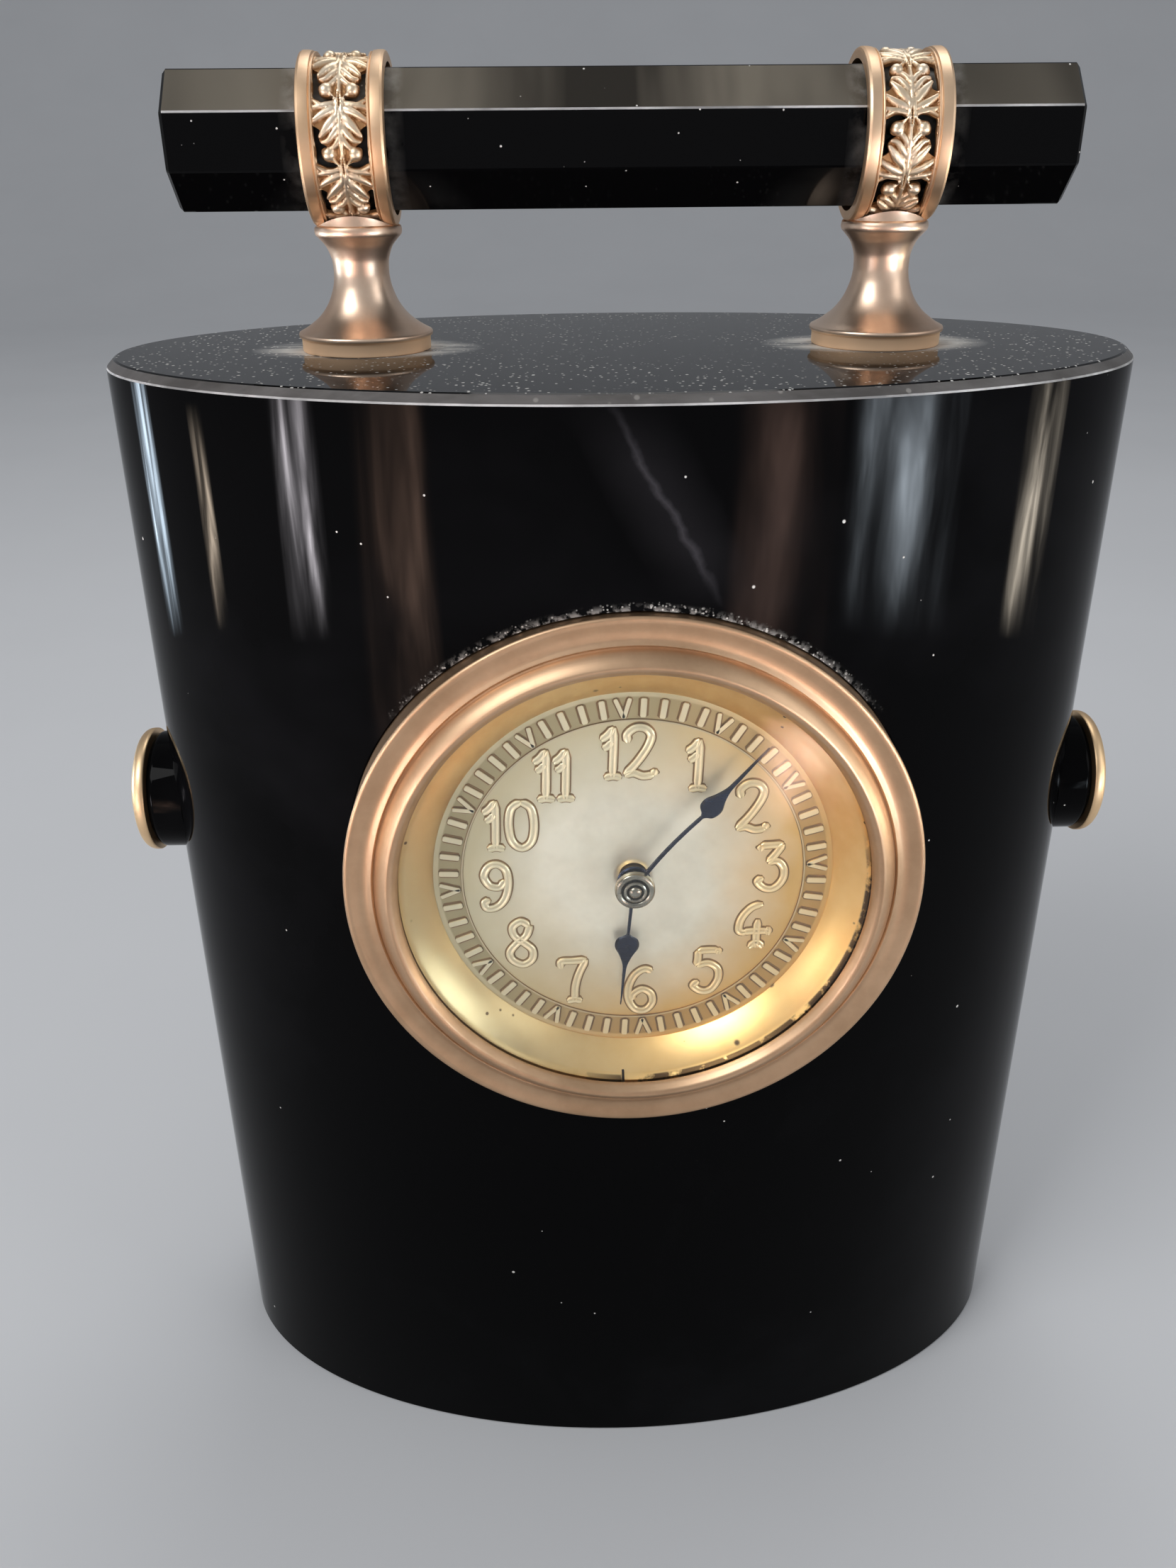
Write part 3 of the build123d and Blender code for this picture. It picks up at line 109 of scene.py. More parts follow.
# Lines
def smooth(points, per=8):
    """Points along a rounded line through the given ones, whatever their number of coordinates."""
    line = []
    last = len(points) - 1
    for i in range(last):
        four = [points[max(0, min(i + j, last))] for j in (-1, 0, 1, 2)]
        for step in range(per):
            t = step / per
            place = []
            for a, b, c, d in zip(*four):
                bend = (2 * a - 5 * b + 4 * c - d) * t**2 + (3 * b - a - 3 * c + d) * t**3
                place.append(0.5 * (2 * b + (c - a) * t + bend))
            line.append(tuple(place))
    line.append(tuple(points[-1]))
    return line


def arc(start, through, end, steps=12):
    """Points on the circle through three places, from start to end."""
    (ax, ay), (bx, by), (cx, cy) = start, through, end
    twice = 2 * (ax * (by - cy) + bx * (cy - ay) + cx * (ay - by))
    squares = [ax**2 + ay**2, bx**2 + by**2, cx**2 + cy**2]
    ox = (squares[0] * (by - cy) + squares[1] * (cy - ay) + squares[2] * (ay - by)) / twice
    oy = (squares[0] * (cx - bx) + squares[1] * (ax - cx) + squares[2] * (bx - ax)) / twice
    radius = hypot(ax - ox, ay - oy)
    first, mid, last = (atan2(y - oy, x - ox) for x, y in (start, through, end))
    sweep = (last - first) % (2 * pi)
    if (mid - first) % (2 * pi) > sweep:
        sweep -= 2 * pi
    turns = [first + sweep * i / steps for i in range(steps + 1)]
    return [(ox + radius * cos(t), oy + radius * sin(t)) for t in turns]


def ring_point(radius, degrees_round):
    """A place on a circle, from its angle anticlockwise from +X as seen from the front."""
    return (radius * cos(radians(degrees_round)), radius * sin(radians(degrees_round)))


# Meshes, as lists of points and faces
def join(*shapes):
    """Several shapes as one list of points and faces."""
    points, faces = [], []
    for more_points, more_faces in shapes:
        base = len(points)
        points += more_points
        faces += [tuple(base + i for i in face) for face in more_faces]
    return points, faces


def bands(size, count, closed=False):
    """The faces between rings of points, each ring as long as the others, and the two end faces."""
    faces = []
    for i in range(count if closed else count - 1):
        this, following = i * size, (i + 1) % count * size
        for j in range(size):
            k = (j + 1) % size
            faces.append((this + j, this + k, following + k, following + j))
    if not closed:
        faces += [tuple(range(size)), tuple(range((count - 1) * size, count * size))]
    return faces


def lathe(profile, origin, axis, steps=192):
    """A closed outline of (radius, height) points turned about an axis through origin."""
    axes = [Vector((1, 0, 0)), Vector((0, 1, 0)), Vector((0, 0, 1))]
    along = axes.pop("xyz".index(axis))
    points = []
    for i in range(steps):
        angle = radians(360 * i / steps)
        outward = axes[0] * cos(angle) + axes[1] * sin(angle)
        points += [Vector(origin) + along * height + outward * radius for radius, height in profile]
    return points, bands(len(profile), steps, closed=True)


# Sections of ridges, as (share of the half width, share of the height)
PLATEAU_HALF = [(-1.3, -0.4), (-1.25, 0.07), (-1.0, 0.14), (-0.84, 0.8), (-0.62, 1.0), (-0.4, 0.95)]
PLATEAU_HALF += [(-0.15, 0.72)]
PLATEAU = PLATEAU_HALF + [(-side, height) for side, height in reversed(PLATEAU_HALF)]
BAR_HALF = [(-1.6, -0.4), (-1.5, 0.07), (-1.0, 0.12), (-0.8, 1.0)]
BAR = BAR_HALF + [(-side, height) for side, height in reversed(BAR_HALF)]
ROUND = [(cos(pi * i / 8), sin(pi * i / 8)) for i in range(9)] + [(-1, -0.5), (1, -0.5)]
STRIP = [(-1, 0), (-0.82, 1), (0.82, 1), (1, 0)]


def ridge(path, place, section=ROUND):
    """A ridge along a path of (u, v, half width, height), laid on a surface by place(u, v, height)."""
    points = []
    for i, (u, v, half, height) in enumerate(path):
        before, after = path[max(i - 1, 0)], path[min(i + 1, len(path) - 1)]
        du, dv = after[0] - before[0], after[1] - before[1]
        length = hypot(du, dv) or 1.0
        half_u, half_v = -dv / length * half, du / length * half
        points += [place(u + half_u * c, v + half_v * c, height * h) for c, h in section]
    return points, bands(len(section), len(path))


def ended(path, reach):
    """A ridge's path with a low and narrow place added beyond each of its ends."""
    places = []
    for (u, v, half, height), (inner_u, inner_v, _, _) in ((path[0], path[1]), (path[-1], path[-2])):
        length = hypot(u - inner_u, v - inner_v) or 1.0
        share = reach / length
        places.append((u + (u - inner_u) * share, v + (v - inner_v) * share, half * 0.8, height * 0.1))
    return [places[0], *path, places[1]]


def block(corner, far_corner):
    """A plain box between two corners, for cutting."""
    xs, ys, zs = zip(corner, far_corner)
    points = [(x, y, z) for x in xs for y in ys for z in zs]
    return points, [(0, 1, 3, 2), (4, 6, 7, 5), (0, 4, 5, 1), (2, 3, 7, 6), (0, 2, 6, 4), (1, 5, 7, 3)]


def crease_at(mesh, degrees):
    """Shades a mesh smooth, with sharp edges where it turns by more than an angle."""
    mesh.shade_smooth()
    mesh.set_sharp_from_angle(angle=radians(degrees))


def mesh_of(name, shape):
    """A shape's mesh, in metres, with its faces turned outwards."""
    points, faces = shape
    mesh = bpy.data.meshes.new(name)
    mesh.from_pydata([tuple(value * MM for value in point) for point in points], [], faces)
    edit = bmesh.new()
    edit.from_mesh(mesh)
    bmesh.ops.remove_doubles(edit, verts=edit.verts, dist=1e-7)
    bmesh.ops.recalc_face_normals(edit, faces=edit.faces)
    edit.to_mesh(mesh)
    edit.free()
    return mesh


def added(name, data):
    """A new object in the scene, of a mesh, a light or a camera."""
    made = bpy.data.objects.new(name, data)
    bpy.context.collection.objects.link(made)
    return made


def piece(name, shape, material, stands_for=(), crease=30, body="case"):
    """Makes an object of a shape that rides on a body and stands for CAD nodes."""
    mesh = mesh_of(name, shape)
    crease_at(mesh, crease)
    mesh.materials.append(material)
    made = added(name, mesh)
    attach(made, body)
    if stands_for:
        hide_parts(*stands_for)
    return made


def cut(target, cutters):
    """Cuts closed shapes out of an object's mesh."""
    for shape in cutters:
        tool = added("cutter", mesh_of("cutter", shape))
        change = target.modifiers.new("cut", "BOOLEAN")
        change.operation = "DIFFERENCE"
        change.solver = "EXACT"
        change.object = tool
        bpy.context.view_layer.update()
        changed = target.evaluated_get(bpy.context.evaluated_depsgraph_get())
        spent = [target.data, tool.data]
        target.data = bpy.data.meshes.new_from_object(changed)
        target.modifiers.clear()
        bpy.data.objects.remove(tool)
        for mesh in spent:
            bpy.data.meshes.remove(mesh)


def disc(radius, front, back, origin, axis, steps=128):
    """A plain cylinder between two heights, for cutting."""
    return lathe([(0, front), (radius, front), (radius, back), (0, back)], origin, axis, steps)


# Materials
class Value:
    """A number or colour that varies over a surface; plain arithmetic on it adds the nodes."""

    def __init__(self, nodes, socket):
        self.nodes = nodes
        self.socket = socket

    def math(self, operation, other=0.0):
        return self.nodes.value("Math", 0, {0: self, 1: other}, operation=operation)

    def __add__(self, other):
        return self.math("ADD", other)

    def __sub__(self, other):
        return self.math("SUBTRACT", other)

    def __mul__(self, other):
        return self.math("MULTIPLY", other)

    def __abs__(self):
        return self.math("ABSOLUTE")

    def capped(self):
        """The same value, held between zero and one."""
        self.socket.node.use_clamp = True
        return self

    def ramp(self, low_end, high_end, from_value=0.0, to_value=1.0):
        """Moves the value from one range to another, held at both ends."""
        ends = {"From Min": low_end, "From Max": high_end, "To Min": from_value, "To Max": to_value}
        return self.nodes.value("MapRange", "Result", {"Value": self, **ends}, clamp=True)

    def band(self, start, end, soft):
        """One between two values, fading to zero outside them."""
        return self.ramp(start - soft, start) * self.ramp(end, end + soft, 1.0, 0.0)

    def mix(self, first, second):
        """The first colour where this value is zero, and the second where it is one."""
        colours = {"Factor": self, "A": first, "B": second}
        return self.nodes.value("Mix", "Result", colours, data_type="RGBA")


class Nodes:
    """A node tree, with short calls for the nodes that finishes and lights share."""

    def __init__(self, tree, coordinates, output):
        self.tree = tree
        self.place = self.value(coordinates, output)

    def value(self, kind, output, inputs=None, **settings):
        """One output of a new node, whose inputs are linked or set."""
        node = self.tree.nodes.new("ShaderNode" + kind)
        for key, setting in settings.items():
            setattr(node, key, setting)
        for key, content in (inputs or {}).items():
            self.feed(node.inputs[key], content)
        return Value(self, node.outputs[output])

    def feed(self, socket, content):
        if isinstance(content, Value):
            self.tree.links.new(content.socket, socket)
        else:
            socket.default_value = (*content, 1.0) if isinstance(content, tuple) else content

    def noise(self, scale, detail=4.0, roughness=0.55, place=None, distortion=0.0):
        inputs = {"Vector": place or self.place, "Scale": scale, "Detail": detail}
        inputs.update({"Roughness": roughness, "Distortion": distortion})
        return self.value("TexNoise", "Fac", inputs)

    def specks(self, scale, size, share):
        """Sparse round specks: one in each kept cell of a cell texture."""
        cells = {"Vector": self.place, "Scale": scale}
        distance = self.value("TexVoronoi", "Distance", cells)
        colour = Value(self, distance.socket.node.outputs["Color"])
        pick = self.value("SeparateColor", 0, {0: colour})
        return distance.ramp(size * 0.6, size, 1.0, 0.0) * pick.math("GREATER_THAN", 1.0 - share)

    def parts(self, vector=None):
        """The x, y and z of the place, or of another vector."""
        x = self.value("SeparateXYZ", 0, {0: vector or self.place})
        return [Value(self, output) for output in x.socket.node.outputs]

    def stretched(self, stretch, move=(0, 0, 0)):
        """The place, stretched and moved."""
        result = self.value("Mapping", 0, {"Vector": self.place})
        result.socket.node.inputs["Location"].default_value = move
        result.socket.node.inputs["Scale"].default_value = stretch
        return result


class Look(Nodes):
    """A material's node tree, with short calls for what this clock's finishes share."""

    def __init__(self, name):
        self.material = bpy.data.materials.new(name)
        self.material.use_nodes = True
        super().__init__(self.material.node_tree, "TexCoord", "Object")
        self.shader = self.tree.nodes["Principled BSDF"]

    def set(self, **contents):
        """Links or sets the shader's inputs, an underscore standing for the space in a name."""
        for key, content in contents.items():
            self.feed(self.shader.inputs[key.replace("_", " ")], content)

    def bump(self, height, strength, distance):
        inputs = {"Strength": strength, "Distance": distance, "Height": height}
        self.set(Normal=self.value("Bump", "Normal", inputs))

    def rise(self):
        """How far the surface faces upwards, from its normal."""
        return self.parts(self.value("NewGeometry", "Normal"))[2]

    def radius(self, axis="y", centre_z=dial_z):
        """The distance from an axis along X or Y at a height in millimetres, in metres."""
        x, y, z = self.parts()
        across = x if axis == "y" else y
        height = z - centre_z * MM
        return (across * across + height * height).math("SQRT")

    def turning_marks(self):
        """Fine rings about the clock's axis, as a lathe tool leaves."""
        rings = self.value("CombineXYZ", 0, {0: self.radius() * 9000.0})
        return self.noise(1.0, 3, 0.7, rings)

    def brush_marks(self):
        return self.noise(1500, 3, 0.7, self.stretched((0.06, 1, 1)))


# The vein runs down the front from (x, z) to (x, z), in metres
vein_top = (-0.0018, 0.1455)
vein_bottom = (0.0055, 0.1325)


def black_stone():
    """Jet-black mirror-polished stone with a faint vein, dust, and old polish beside the metal."""
    look = Look("black_stone")
    x, y, z = look.parts()
    cloud = look.noise(18, 5, 0.6, distortion=0.4)
    colour = cloud.ramp(0.5, 0.8).mix((0.0016, 0.0016, 0.0018), (0.006, 0.006, 0.007))

    slope = (vein_bottom[0] - vein_top[0]) / (vein_bottom[1] - vein_top[1])
    wander = (look.noise(140, 5, 0.6) - 0.5) * 0.004
    off = abs(x + wander - ((z - vein_top[1]) * slope + vein_top[0]))
    thread = off.ramp(0.0, 0.0007, 1.0, 0.0)
    haze = off.ramp(0.0, 0.006, 0.3, 0.0)
    above = z.ramp(vein_bottom[1] - 0.006, vein_bottom[1])
    below = z.ramp(vein_top[1] - 0.004, vein_top[1] + 0.003, 1.0, 0.0)
    front = y.ramp(-0.026, -0.024, 1.0, 0.0)
    vein = (thread + haze) * (above * below * front)
    colour = (vein * 0.75).capped().mix(colour, (0.035, 0.034, 0.038))

    near_top = z.ramp((body_height - 2) * MM, (body_height - 1.5) * MM)
    level = look.rise().ramp(0.6, 0.9) * near_top
    patch = look.noise(45, 3).ramp(0.36, 0.58)
    top_dust = (look.specks(1300, 0.24, 0.7) + look.specks(520, 0.12, 0.7)) * (level * patch)
    dust = look.specks(130, 0.03, 0.5) + look.specks(420, 0.06, 0.1) + top_dust

    by_bezel = look.radius().ramp(0.0336, 0.0346, 1.0, 0.0)
    over_bezel = by_bezel * z.ramp(0.113, 0.121)
    powder = by_bezel * look.noise(1400, 3).ramp(0.45, 0.6, 0.0, 0.5)
    lint = look.specks(2600, 0.34, 0.5) + look.specks(1300, 0.26, 0.2)
    dust = dust + (lint + powder) * over_bezel * front

    aside = abs(x) - post_x * MM
    from_post = (aside * aside * 0.36 + y * y).math("SQRT")
    smear = from_post.ramp(0.0058, 0.0082, 1.0, 0.0) * level
    streaks = look.noise(260, 5, 0.7, look.stretched((0.25, 1.6, 1))).ramp(0.34, 0.54)
    dirt = (dust + smear * streaks * 0.95).capped()
    film = look.noise(35, 4, 0.6).ramp(0.45, 0.75, 0.02, 0.07)
    look.set(Base_Color=dirt.mix(colour, (0.62, 0.61, 0.58)), Roughness=(film + dirt * 0.5).capped())
    look.set(Specular_IOR_Level=level.ramp(0.0, 1.0, 0.045, 0.12), IOR=1.46)
    look.bump(look.noise(14, 2), 0.12, 0.0002)
    return look.material


def bar_polish():
    """The carrying bar's stone: black, with a painted reflection on its upper front facets as a cloudy olive
    sheen.
    """
    look = Look("bar_stone")
    x, y, _ = look.parts()
    rise = look.rise()
    # Painted reflection: the upward front facets are coloured a cloudy light olive for the light that they
    # mirror.
    sheen_facets = rise.band(0.6, 0.8, 0.05) * y.ramp(-0.001, 0.001, 1.0, 0.0)
    cloud = look.noise(26, 4, 0.6, look.stretched((1, 0.3, 0.3)), 0.8).ramp(0.38, 0.6, 0.15, 1.0)
    colour = (sheen_facets * cloud).mix((0.0018, 0.0018, 0.002), (0.14, 0.125, 0.1))
    beside = abs(abs(x) - post_x * MM)
    smudge = beside.ramp(0.0046, 0.0066, 1.0, 0.0) * rise.ramp(0.5, 0.7, 0.25, 1.0)
    smudge = smudge * look.noise(300, 5, 0.6).ramp(0.4, 0.75)
    dust = look.specks(300, 0.04, 0.35) + look.specks(900, 0.12, 0.05)
    dirt = (dust + smudge * 0.5).capped()
    rough = (look.noise(35, 4).ramp(0.4, 0.7, 0.02, 0.1) + dirt).capped()
    look.set(Base_Color=dirt.mix(colour, (0.6, 0.59, 0.56)), Roughness=rough)
    look.set(Specular_IOR_Level=0.1, IOR=1.46)
    look.bump(look.noise(20, 2), 0.1, 0.0002)
    return look.material


def ground_stone(name, colour, dark):
    """Stone left dull by grinding or wear, as on the chamfer and along the fine edges, where its light grey
    is also a painted highlight.
    """
    look = Look(name)
    worn = look.noise(260, 5, 0.65, look.stretched((0.3, 1, 1)))
    shade = worn.ramp(0.38, 0.62).mix(dark, colour)
    chips = look.specks(700, 0.25, 0.3) * 0.5
    look.set(Base_Color=chips.mix(shade, (0.3, 0.29, 0.27)), Roughness=worn.ramp(0.3, 0.7, 0.3, 0.5))
    look.bump(look.noise(1800, 3), 0.2, 0.00003)
    return look.material


def metal(name, bright, dull, shine, fine, turned=False, spots=0.0):
    """A metal with patches of tarnish, fine turning or brushing marks, and small age spots."""
    look = Look(name)
    age = look.noise(70, 6, 0.62)
    colour = age.ramp(0.38, 0.66).mix(bright, dull)
    colour = look.noise(22, 3).ramp(0.45, 0.75, 0.0, 0.35).mix(colour, dull)
    if spots:
        broken = look.noise(600, 2).ramp(0.3, 0.6)
        colour = (look.specks(210, 0.11, spots) * broken).mix(colour, (0.1, 0.06, 0.03))
    marks = look.turning_marks() if turned else look.brush_marks()
    blend = age * 0.6 + marks * 0.4
    look.set(Base_Color=colour, Roughness=blend.ramp(0.3, 0.7, *shine), Metallic=1.0)
    look.bump(marks + age * 1.5, fine, 0.00004)
    return look.material


def post_metal():
    """Pale satin rose brass of the posts, with a painted highlight that makes the foot brightest."""
    look = Look("post_brass")
    age = look.noise(90, 6, 0.62)
    # Painted highlight: the foot under the skirt is coloured paler and brighter for the light that falls on
    # it.
    foot = look.parts()[2].ramp((body_height + 1.5) * MM, (body_height + 1.8) * MM, 1.0, 0.0)
    colour = age.ramp(0.38, 0.66).mix((0.90, 0.69, 0.53), (0.76, 0.53, 0.38))
    look.set(Base_Color=foot.mix(colour, (1.0, 0.72, 0.48)), Metallic=foot.ramp(0.0, 1.0, 1.0, 0.75))
    look.set(Roughness=age.ramp(0.3, 0.7, 0.3, 0.44) + foot * 0.3)
    look.bump(look.brush_marks() + age, 0.12, 0.00004)
    return look.material


def leaf_metal():
    """Gilding rubbed pale on the raised leaves and dark in the hollows between them."""
    look = Look("leaf_gilt")
    uneven = (look.noise(900, 4, 0.6) - 0.5) * 0.0002
    raised = (look.radius("x", bar_z) + uneven).ramp(0.00812, 0.0085)
    pale = look.noise(300, 4).ramp(0.35, 0.65).mix((0.94, 0.80, 0.62), (0.86, 0.68, 0.47))
    look.set(Base_Color=raised.mix((0.40, 0.22, 0.10), pale), Metallic=1.0)
    look.set(Roughness=raised.ramp(0.0, 1.0, 0.55, 0.4))
    look.bump(look.noise(1600, 3, 0.7), 0.2, 0.00003)
    return look.material


def ring_gilt():
    """The sight ring's bright gilding, with age spots, and near its outer edge on the right and below a dark
    broken line that is a painted shadow of the gap at the bezel.
    """
    look = Look("ring_gilt")
    x, _, z = look.parts()
    colour = look.noise(80, 6, 0.62).ramp(0.38, 0.66).mix((1.0, 0.75, 0.38), (0.84, 0.54, 0.21))
    colour = (x + z * 0.4).ramp(0.012, 0.026, 0.75, 0.0).mix(colour, (0.46, 0.38, 0.22))
    lean = x - (z - dial_z * MM)
    colour = lean.ramp(0.008, 0.03, 0.0, 0.6).mix(colour, (0.88, 0.53, 0.18))
    flecks = (look.specks(230, 0.12, 0.14) + look.specks(620, 0.16, 0.1)).capped()
    colour = flecks.mix(colour, (0.12, 0.07, 0.03))
    # Painted shadow: a dark broken line near the outer edge, on the right and lower side, for the gap between
    # ring and bezel.
    broken = look.noise(260, 4, 0.7).ramp(0.4, 0.5)
    line = look.radius().ramp(0.0266, 0.02675) * (broken * lean.ramp(0.018, 0.026))
    marks = look.turning_marks()
    look.set(Base_Color=line.mix(colour, (0.09, 0.05, 0.02)), Metallic=1.0)
    look.set(Roughness=marks.ramp(0.3, 0.7, 0.3, 0.42))
    look.bump(marks, 0.15, 0.00003)
    return look.material


def hub_metal():
    """Grey steel of the hands' collet, with painted shade making two narrow turned hollows near black."""
    look = Look("hub_steel")
    radius = look.radius()
    grey = look.noise(400, 4).ramp(0.35, 0.65).mix((0.42, 0.40, 0.34), (0.26, 0.24, 0.20))
    # Painted shade: two narrow bands in the collet's turned hollows, between its rings, are coloured near
    # black.
    groove_shade = radius.band(0.00080, 0.00093, 0.00004) + radius.band(0.00141, 0.00153, 0.00005)
    look.set(Base_Color=groove_shade.capped().mix(grey, (0.02, 0.018, 0.015)), Metallic=1.0)
    look.set(Roughness=look.noise(700, 3).ramp(0.3, 0.7, 0.16, 0.3))
    look.bump(look.noise(1500, 2), 0.12, 0.00003)
    return look.material


def dial_metal():
    """Dial with raised numerals and bars: silvery cream in the middle, olive and golden brown at the rim, and
    dark brown painted shade at the low edges of the raised work and in the hollows along it.
    """
    look = Look("dial_metal")
    radius = look.radius()
    x, y, z = look.parts()
    across = (x + (z - dial_z * MM) * -0.5).ramp(-0.012, 0.014)
    cream = look.noise(120, 4, 0.6).ramp(0.35, 0.7).mix((0.94, 0.89, 0.74), (0.78, 0.73, 0.59))
    gilt = across.mix((0.64, 0.57, 0.37), (0.75, 0.47, 0.17))
    ragged = radius + (look.noise(70, 4) - 0.5) * 0.01
    field = ragged.ramp(0.0095, 0.0195).mix(cream, gilt)
    track = radius.band(track_inner * MM, track_outer * MM, 0.0002) * 0.6
    field = track.mix(field, across.mix((0.31, 0.25, 0.12), (0.42, 0.25, 0.09)))
    height = (y - dial_front * MM) * -1.0
    crest = across.mix((0.80, 0.73, 0.52), (0.90, 0.72, 0.42))
    # Painted shade: raised strokes and bars are dark brown at their low edges, rising to the crest colour.
    shaded_relief = height.ramp(0.0001, 0.00026).mix((0.24, 0.15, 0.07), crest)
    look.set(Base_Color=height.ramp(0.000004, 0.000008).mix(field, shaded_relief), Metallic=0.75)
    look.set(Roughness=look.noise(160, 4).ramp(0.3, 0.7, 0.3, 0.46))
    look.bump(look.noise(900, 4, 0.7, look.stretched((0.2, 1, 1))), 0.18, 0.00003)
    return look.material


def clear_glass():
    """Old clear glass, which lets light fall straight through on to the dial."""
    look = Look("clear_glass")
    look.set(Base_Color=(0.98, 1.0, 0.99), Transmission_Weight=1.0, IOR=1.45)
    look.set(Roughness=look.noise(60, 4).ramp(0.5, 0.8, 0.0, 0.02))
    in_shadow = look.value("LightPath", "Is Shadow Ray")
    see_through = look.value("BsdfTransparent", 0)
    choices = {0: in_shadow, 1: Value(look, look.shader.outputs[0]), 2: see_through}
    surface = look.tree.nodes["Material Output"].inputs["Surface"]
    look.feed(surface, look.value("MixShader", 0, choices))
    return look.material


stone = black_stone()
bar_stone = bar_polish()
chamfer_stone = ground_stone("chamfer_stone", (0.095, 0.09, 0.087), (0.05, 0.046, 0.043))
# The fine edges' light grey stands for ground stone and is a painted highlight as well.
edge_highlight_stone = ground_stone("edge_highlight_stone", (0.5, 0.5, 0.5), (0.2, 0.2, 0.2))
rose_brass = metal("rose_brass", (0.64, 0.43, 0.27), (0.46, 0.30, 0.18), (0.36, 0.5), 0.2, True)
post_brass = post_metal()
rim_gilt = metal("rim_gilt", (0.84, 0.60, 0.40), (0.70, 0.46, 0.27), (0.38, 0.5), 0.15)
leaf_gilt = leaf_metal()
yellow_gilt = ring_gilt()
cap_gilt = metal("cap_gilt", (0.90, 0.66, 0.40), (0.74, 0.50, 0.28), (0.36, 0.5), 0.15)
movement_brass = metal("movement_brass", (0.78, 0.58, 0.28), (0.62, 0.44, 0.19), (0.26, 0.4), 0.3)
drum_brass = metal("drum_brass", (0.66, 0.45, 0.22), (0.48, 0.32, 0.15), (0.28, 0.42), 0.3, True)
door_brass = metal("door_brass", (0.72, 0.46, 0.27), (0.52, 0.32, 0.18), (0.26, 0.4), 0.35, True, 0.1)
cut_steel = metal("cut_steel", (0.62, 0.62, 0.62), (0.45, 0.45, 0.46), (0.18, 0.32), 0.2)
blued_steel = metal("blued_steel", (0.035, 0.045, 0.08), (0.02, 0.022, 0.035), (0.2, 0.34), 0.12)
hub_steel = hub_metal()
dial_finish = dial_metal()
glass = clear_glass()


# Stone column
def wall_normal(x, y):
    return Vector((x / half_width**2, y / half_depth**2, 0)).normalized()


def column():
    """The elliptical column, with fine facets and exact normals so that its reflections run smooth."""
    sides = 320
    inset_round = 0.18
    levels = [(0.0, 0.25), (0.25, 0.0), (body_height - top_chamfer - 0.1, 0.0)]
    levels += [(body_height - top_chamfer + 0.1, 0.12), (body_height - 0.12, top_chamfer - 0.1)]
    levels += [(body_height, top_chamfer + inset_round)]
    points = []
    for height, inset in levels:
        for i in range(sides):
            turn = 2 * pi * i / sides
            points.append(((half_width - inset) * cos(turn), (half_depth - inset) * sin(turn), height))
    shape = points, bands(sides, len(levels))
    made = piece("polished_column", shape, stone, ["stone_body"])
    cutters = [disc(bore_radius, -50, 50, clock_axis, "y")]
    cutters.append(disc(bezel_radius + 0.2, -50, front_seat, clock_axis, "y", 256))
    cutters.append(disc(rear_ring_pocket, rear_seat, 50, clock_axis, "y", 256))
    for side in (-1, 1):
        reach = sorted((side * boss_seat_x, side * 80))
        cutters.append(disc(roundel_radius + 0.15, *reach, (0, 0, boss_z), "x"))
        deep = sorted((side * (boss_seat_x - 9.5), side * 70))
        cutters.append(disc(stud_radius, *deep, (0, 0, boss_z), "x", 32))
        cutters.append(disc(stud_radius, body_height - 9.5, 170, (side * post_x, 0, 0), "z", 32))
    cut(made, cutters)
    mesh = made.data
    mesh.materials.clear()
    for finish in (stone, chamfer_stone, edge_highlight_stone):
        mesh.materials.append(finish)
    normals = []
    for face in mesh.polygons:
        for corner in face.loop_indices:
            x, y, _ = mesh.vertices[mesh.loops[corner].vertex_index].co / MM
            wall = wall_normal(x, y)
            rise = face.normal.z
            on_wall = abs(rise) < 0.01 and face.normal.dot(wall) > 0.995
            on_chamfer = 0.03 < rise < 0.995 and face.normal.dot(wall) > 0
            # Rounded edge faces take the light grey edge finish, a painted highlight; the chamfer takes the
            # dull ground finish.
            if on_chamfer and rise > 0.3:
                face.material_index = 2 if rise < 0.6 else 1 if rise < 0.85 else 0
            if on_wall:
                normals.append(wall)
            elif on_chamfer:
                normals.append((wall * sqrt(1 - rise**2) + Vector((0, 0, rise))).normalized())
            else:
                normals.append(face.normal.copy())
    mesh.shade_smooth()
    mesh.normals_split_custom_set(normals)


# Carrying bar: an octagon with ground ends and fine ground edges, two of them light grey as a painted
# highlight
def bar():
    bevel, end_bevel = 0.13, 0.4
    corner = bar_half_flats / cos(pi / 8)
    share = bevel / (2 * corner * sin(pi / 8))
    stations = [(-bar_half_length, 1 - end_bevel / bar_half_flats), (-bar_half_length + end_bevel, 1)]
    stations += [(-x, scale) for x, scale in reversed(stations)]
    points = []
    for x, scale in stations:
        corners = [ring_point(corner * scale, 22.5 + 45 * i) for i in range(8)]
        for i, here in enumerate(corners):
            for there in (corners[i - 1], corners[(i + 1) % 8]):
                y, z = (h + (t - h) * share for h, t in zip(here, there))
                points.append((x, y, bar_z + z))
    shape = points, bands(16, len(stations))
    made = piece("octagonal_bar", shape, bar_stone, ["handle_bar"], 1)
    made.data.materials.append(edge_highlight_stone)
    # Normals of the fine edges at the top of the front face and at the back of the top, given the light grey
    # edge finish as a painted highlight.
    worn = (-cos(pi / 8), sin(pi / 8)), (sin(pi / 8), cos(pi / 8))
    for face in made.data.polygons:
        if min(hypot(face.normal.y - y, face.normal.z - z) for y, z in worn) < 0.05:
            face.material_index = 1


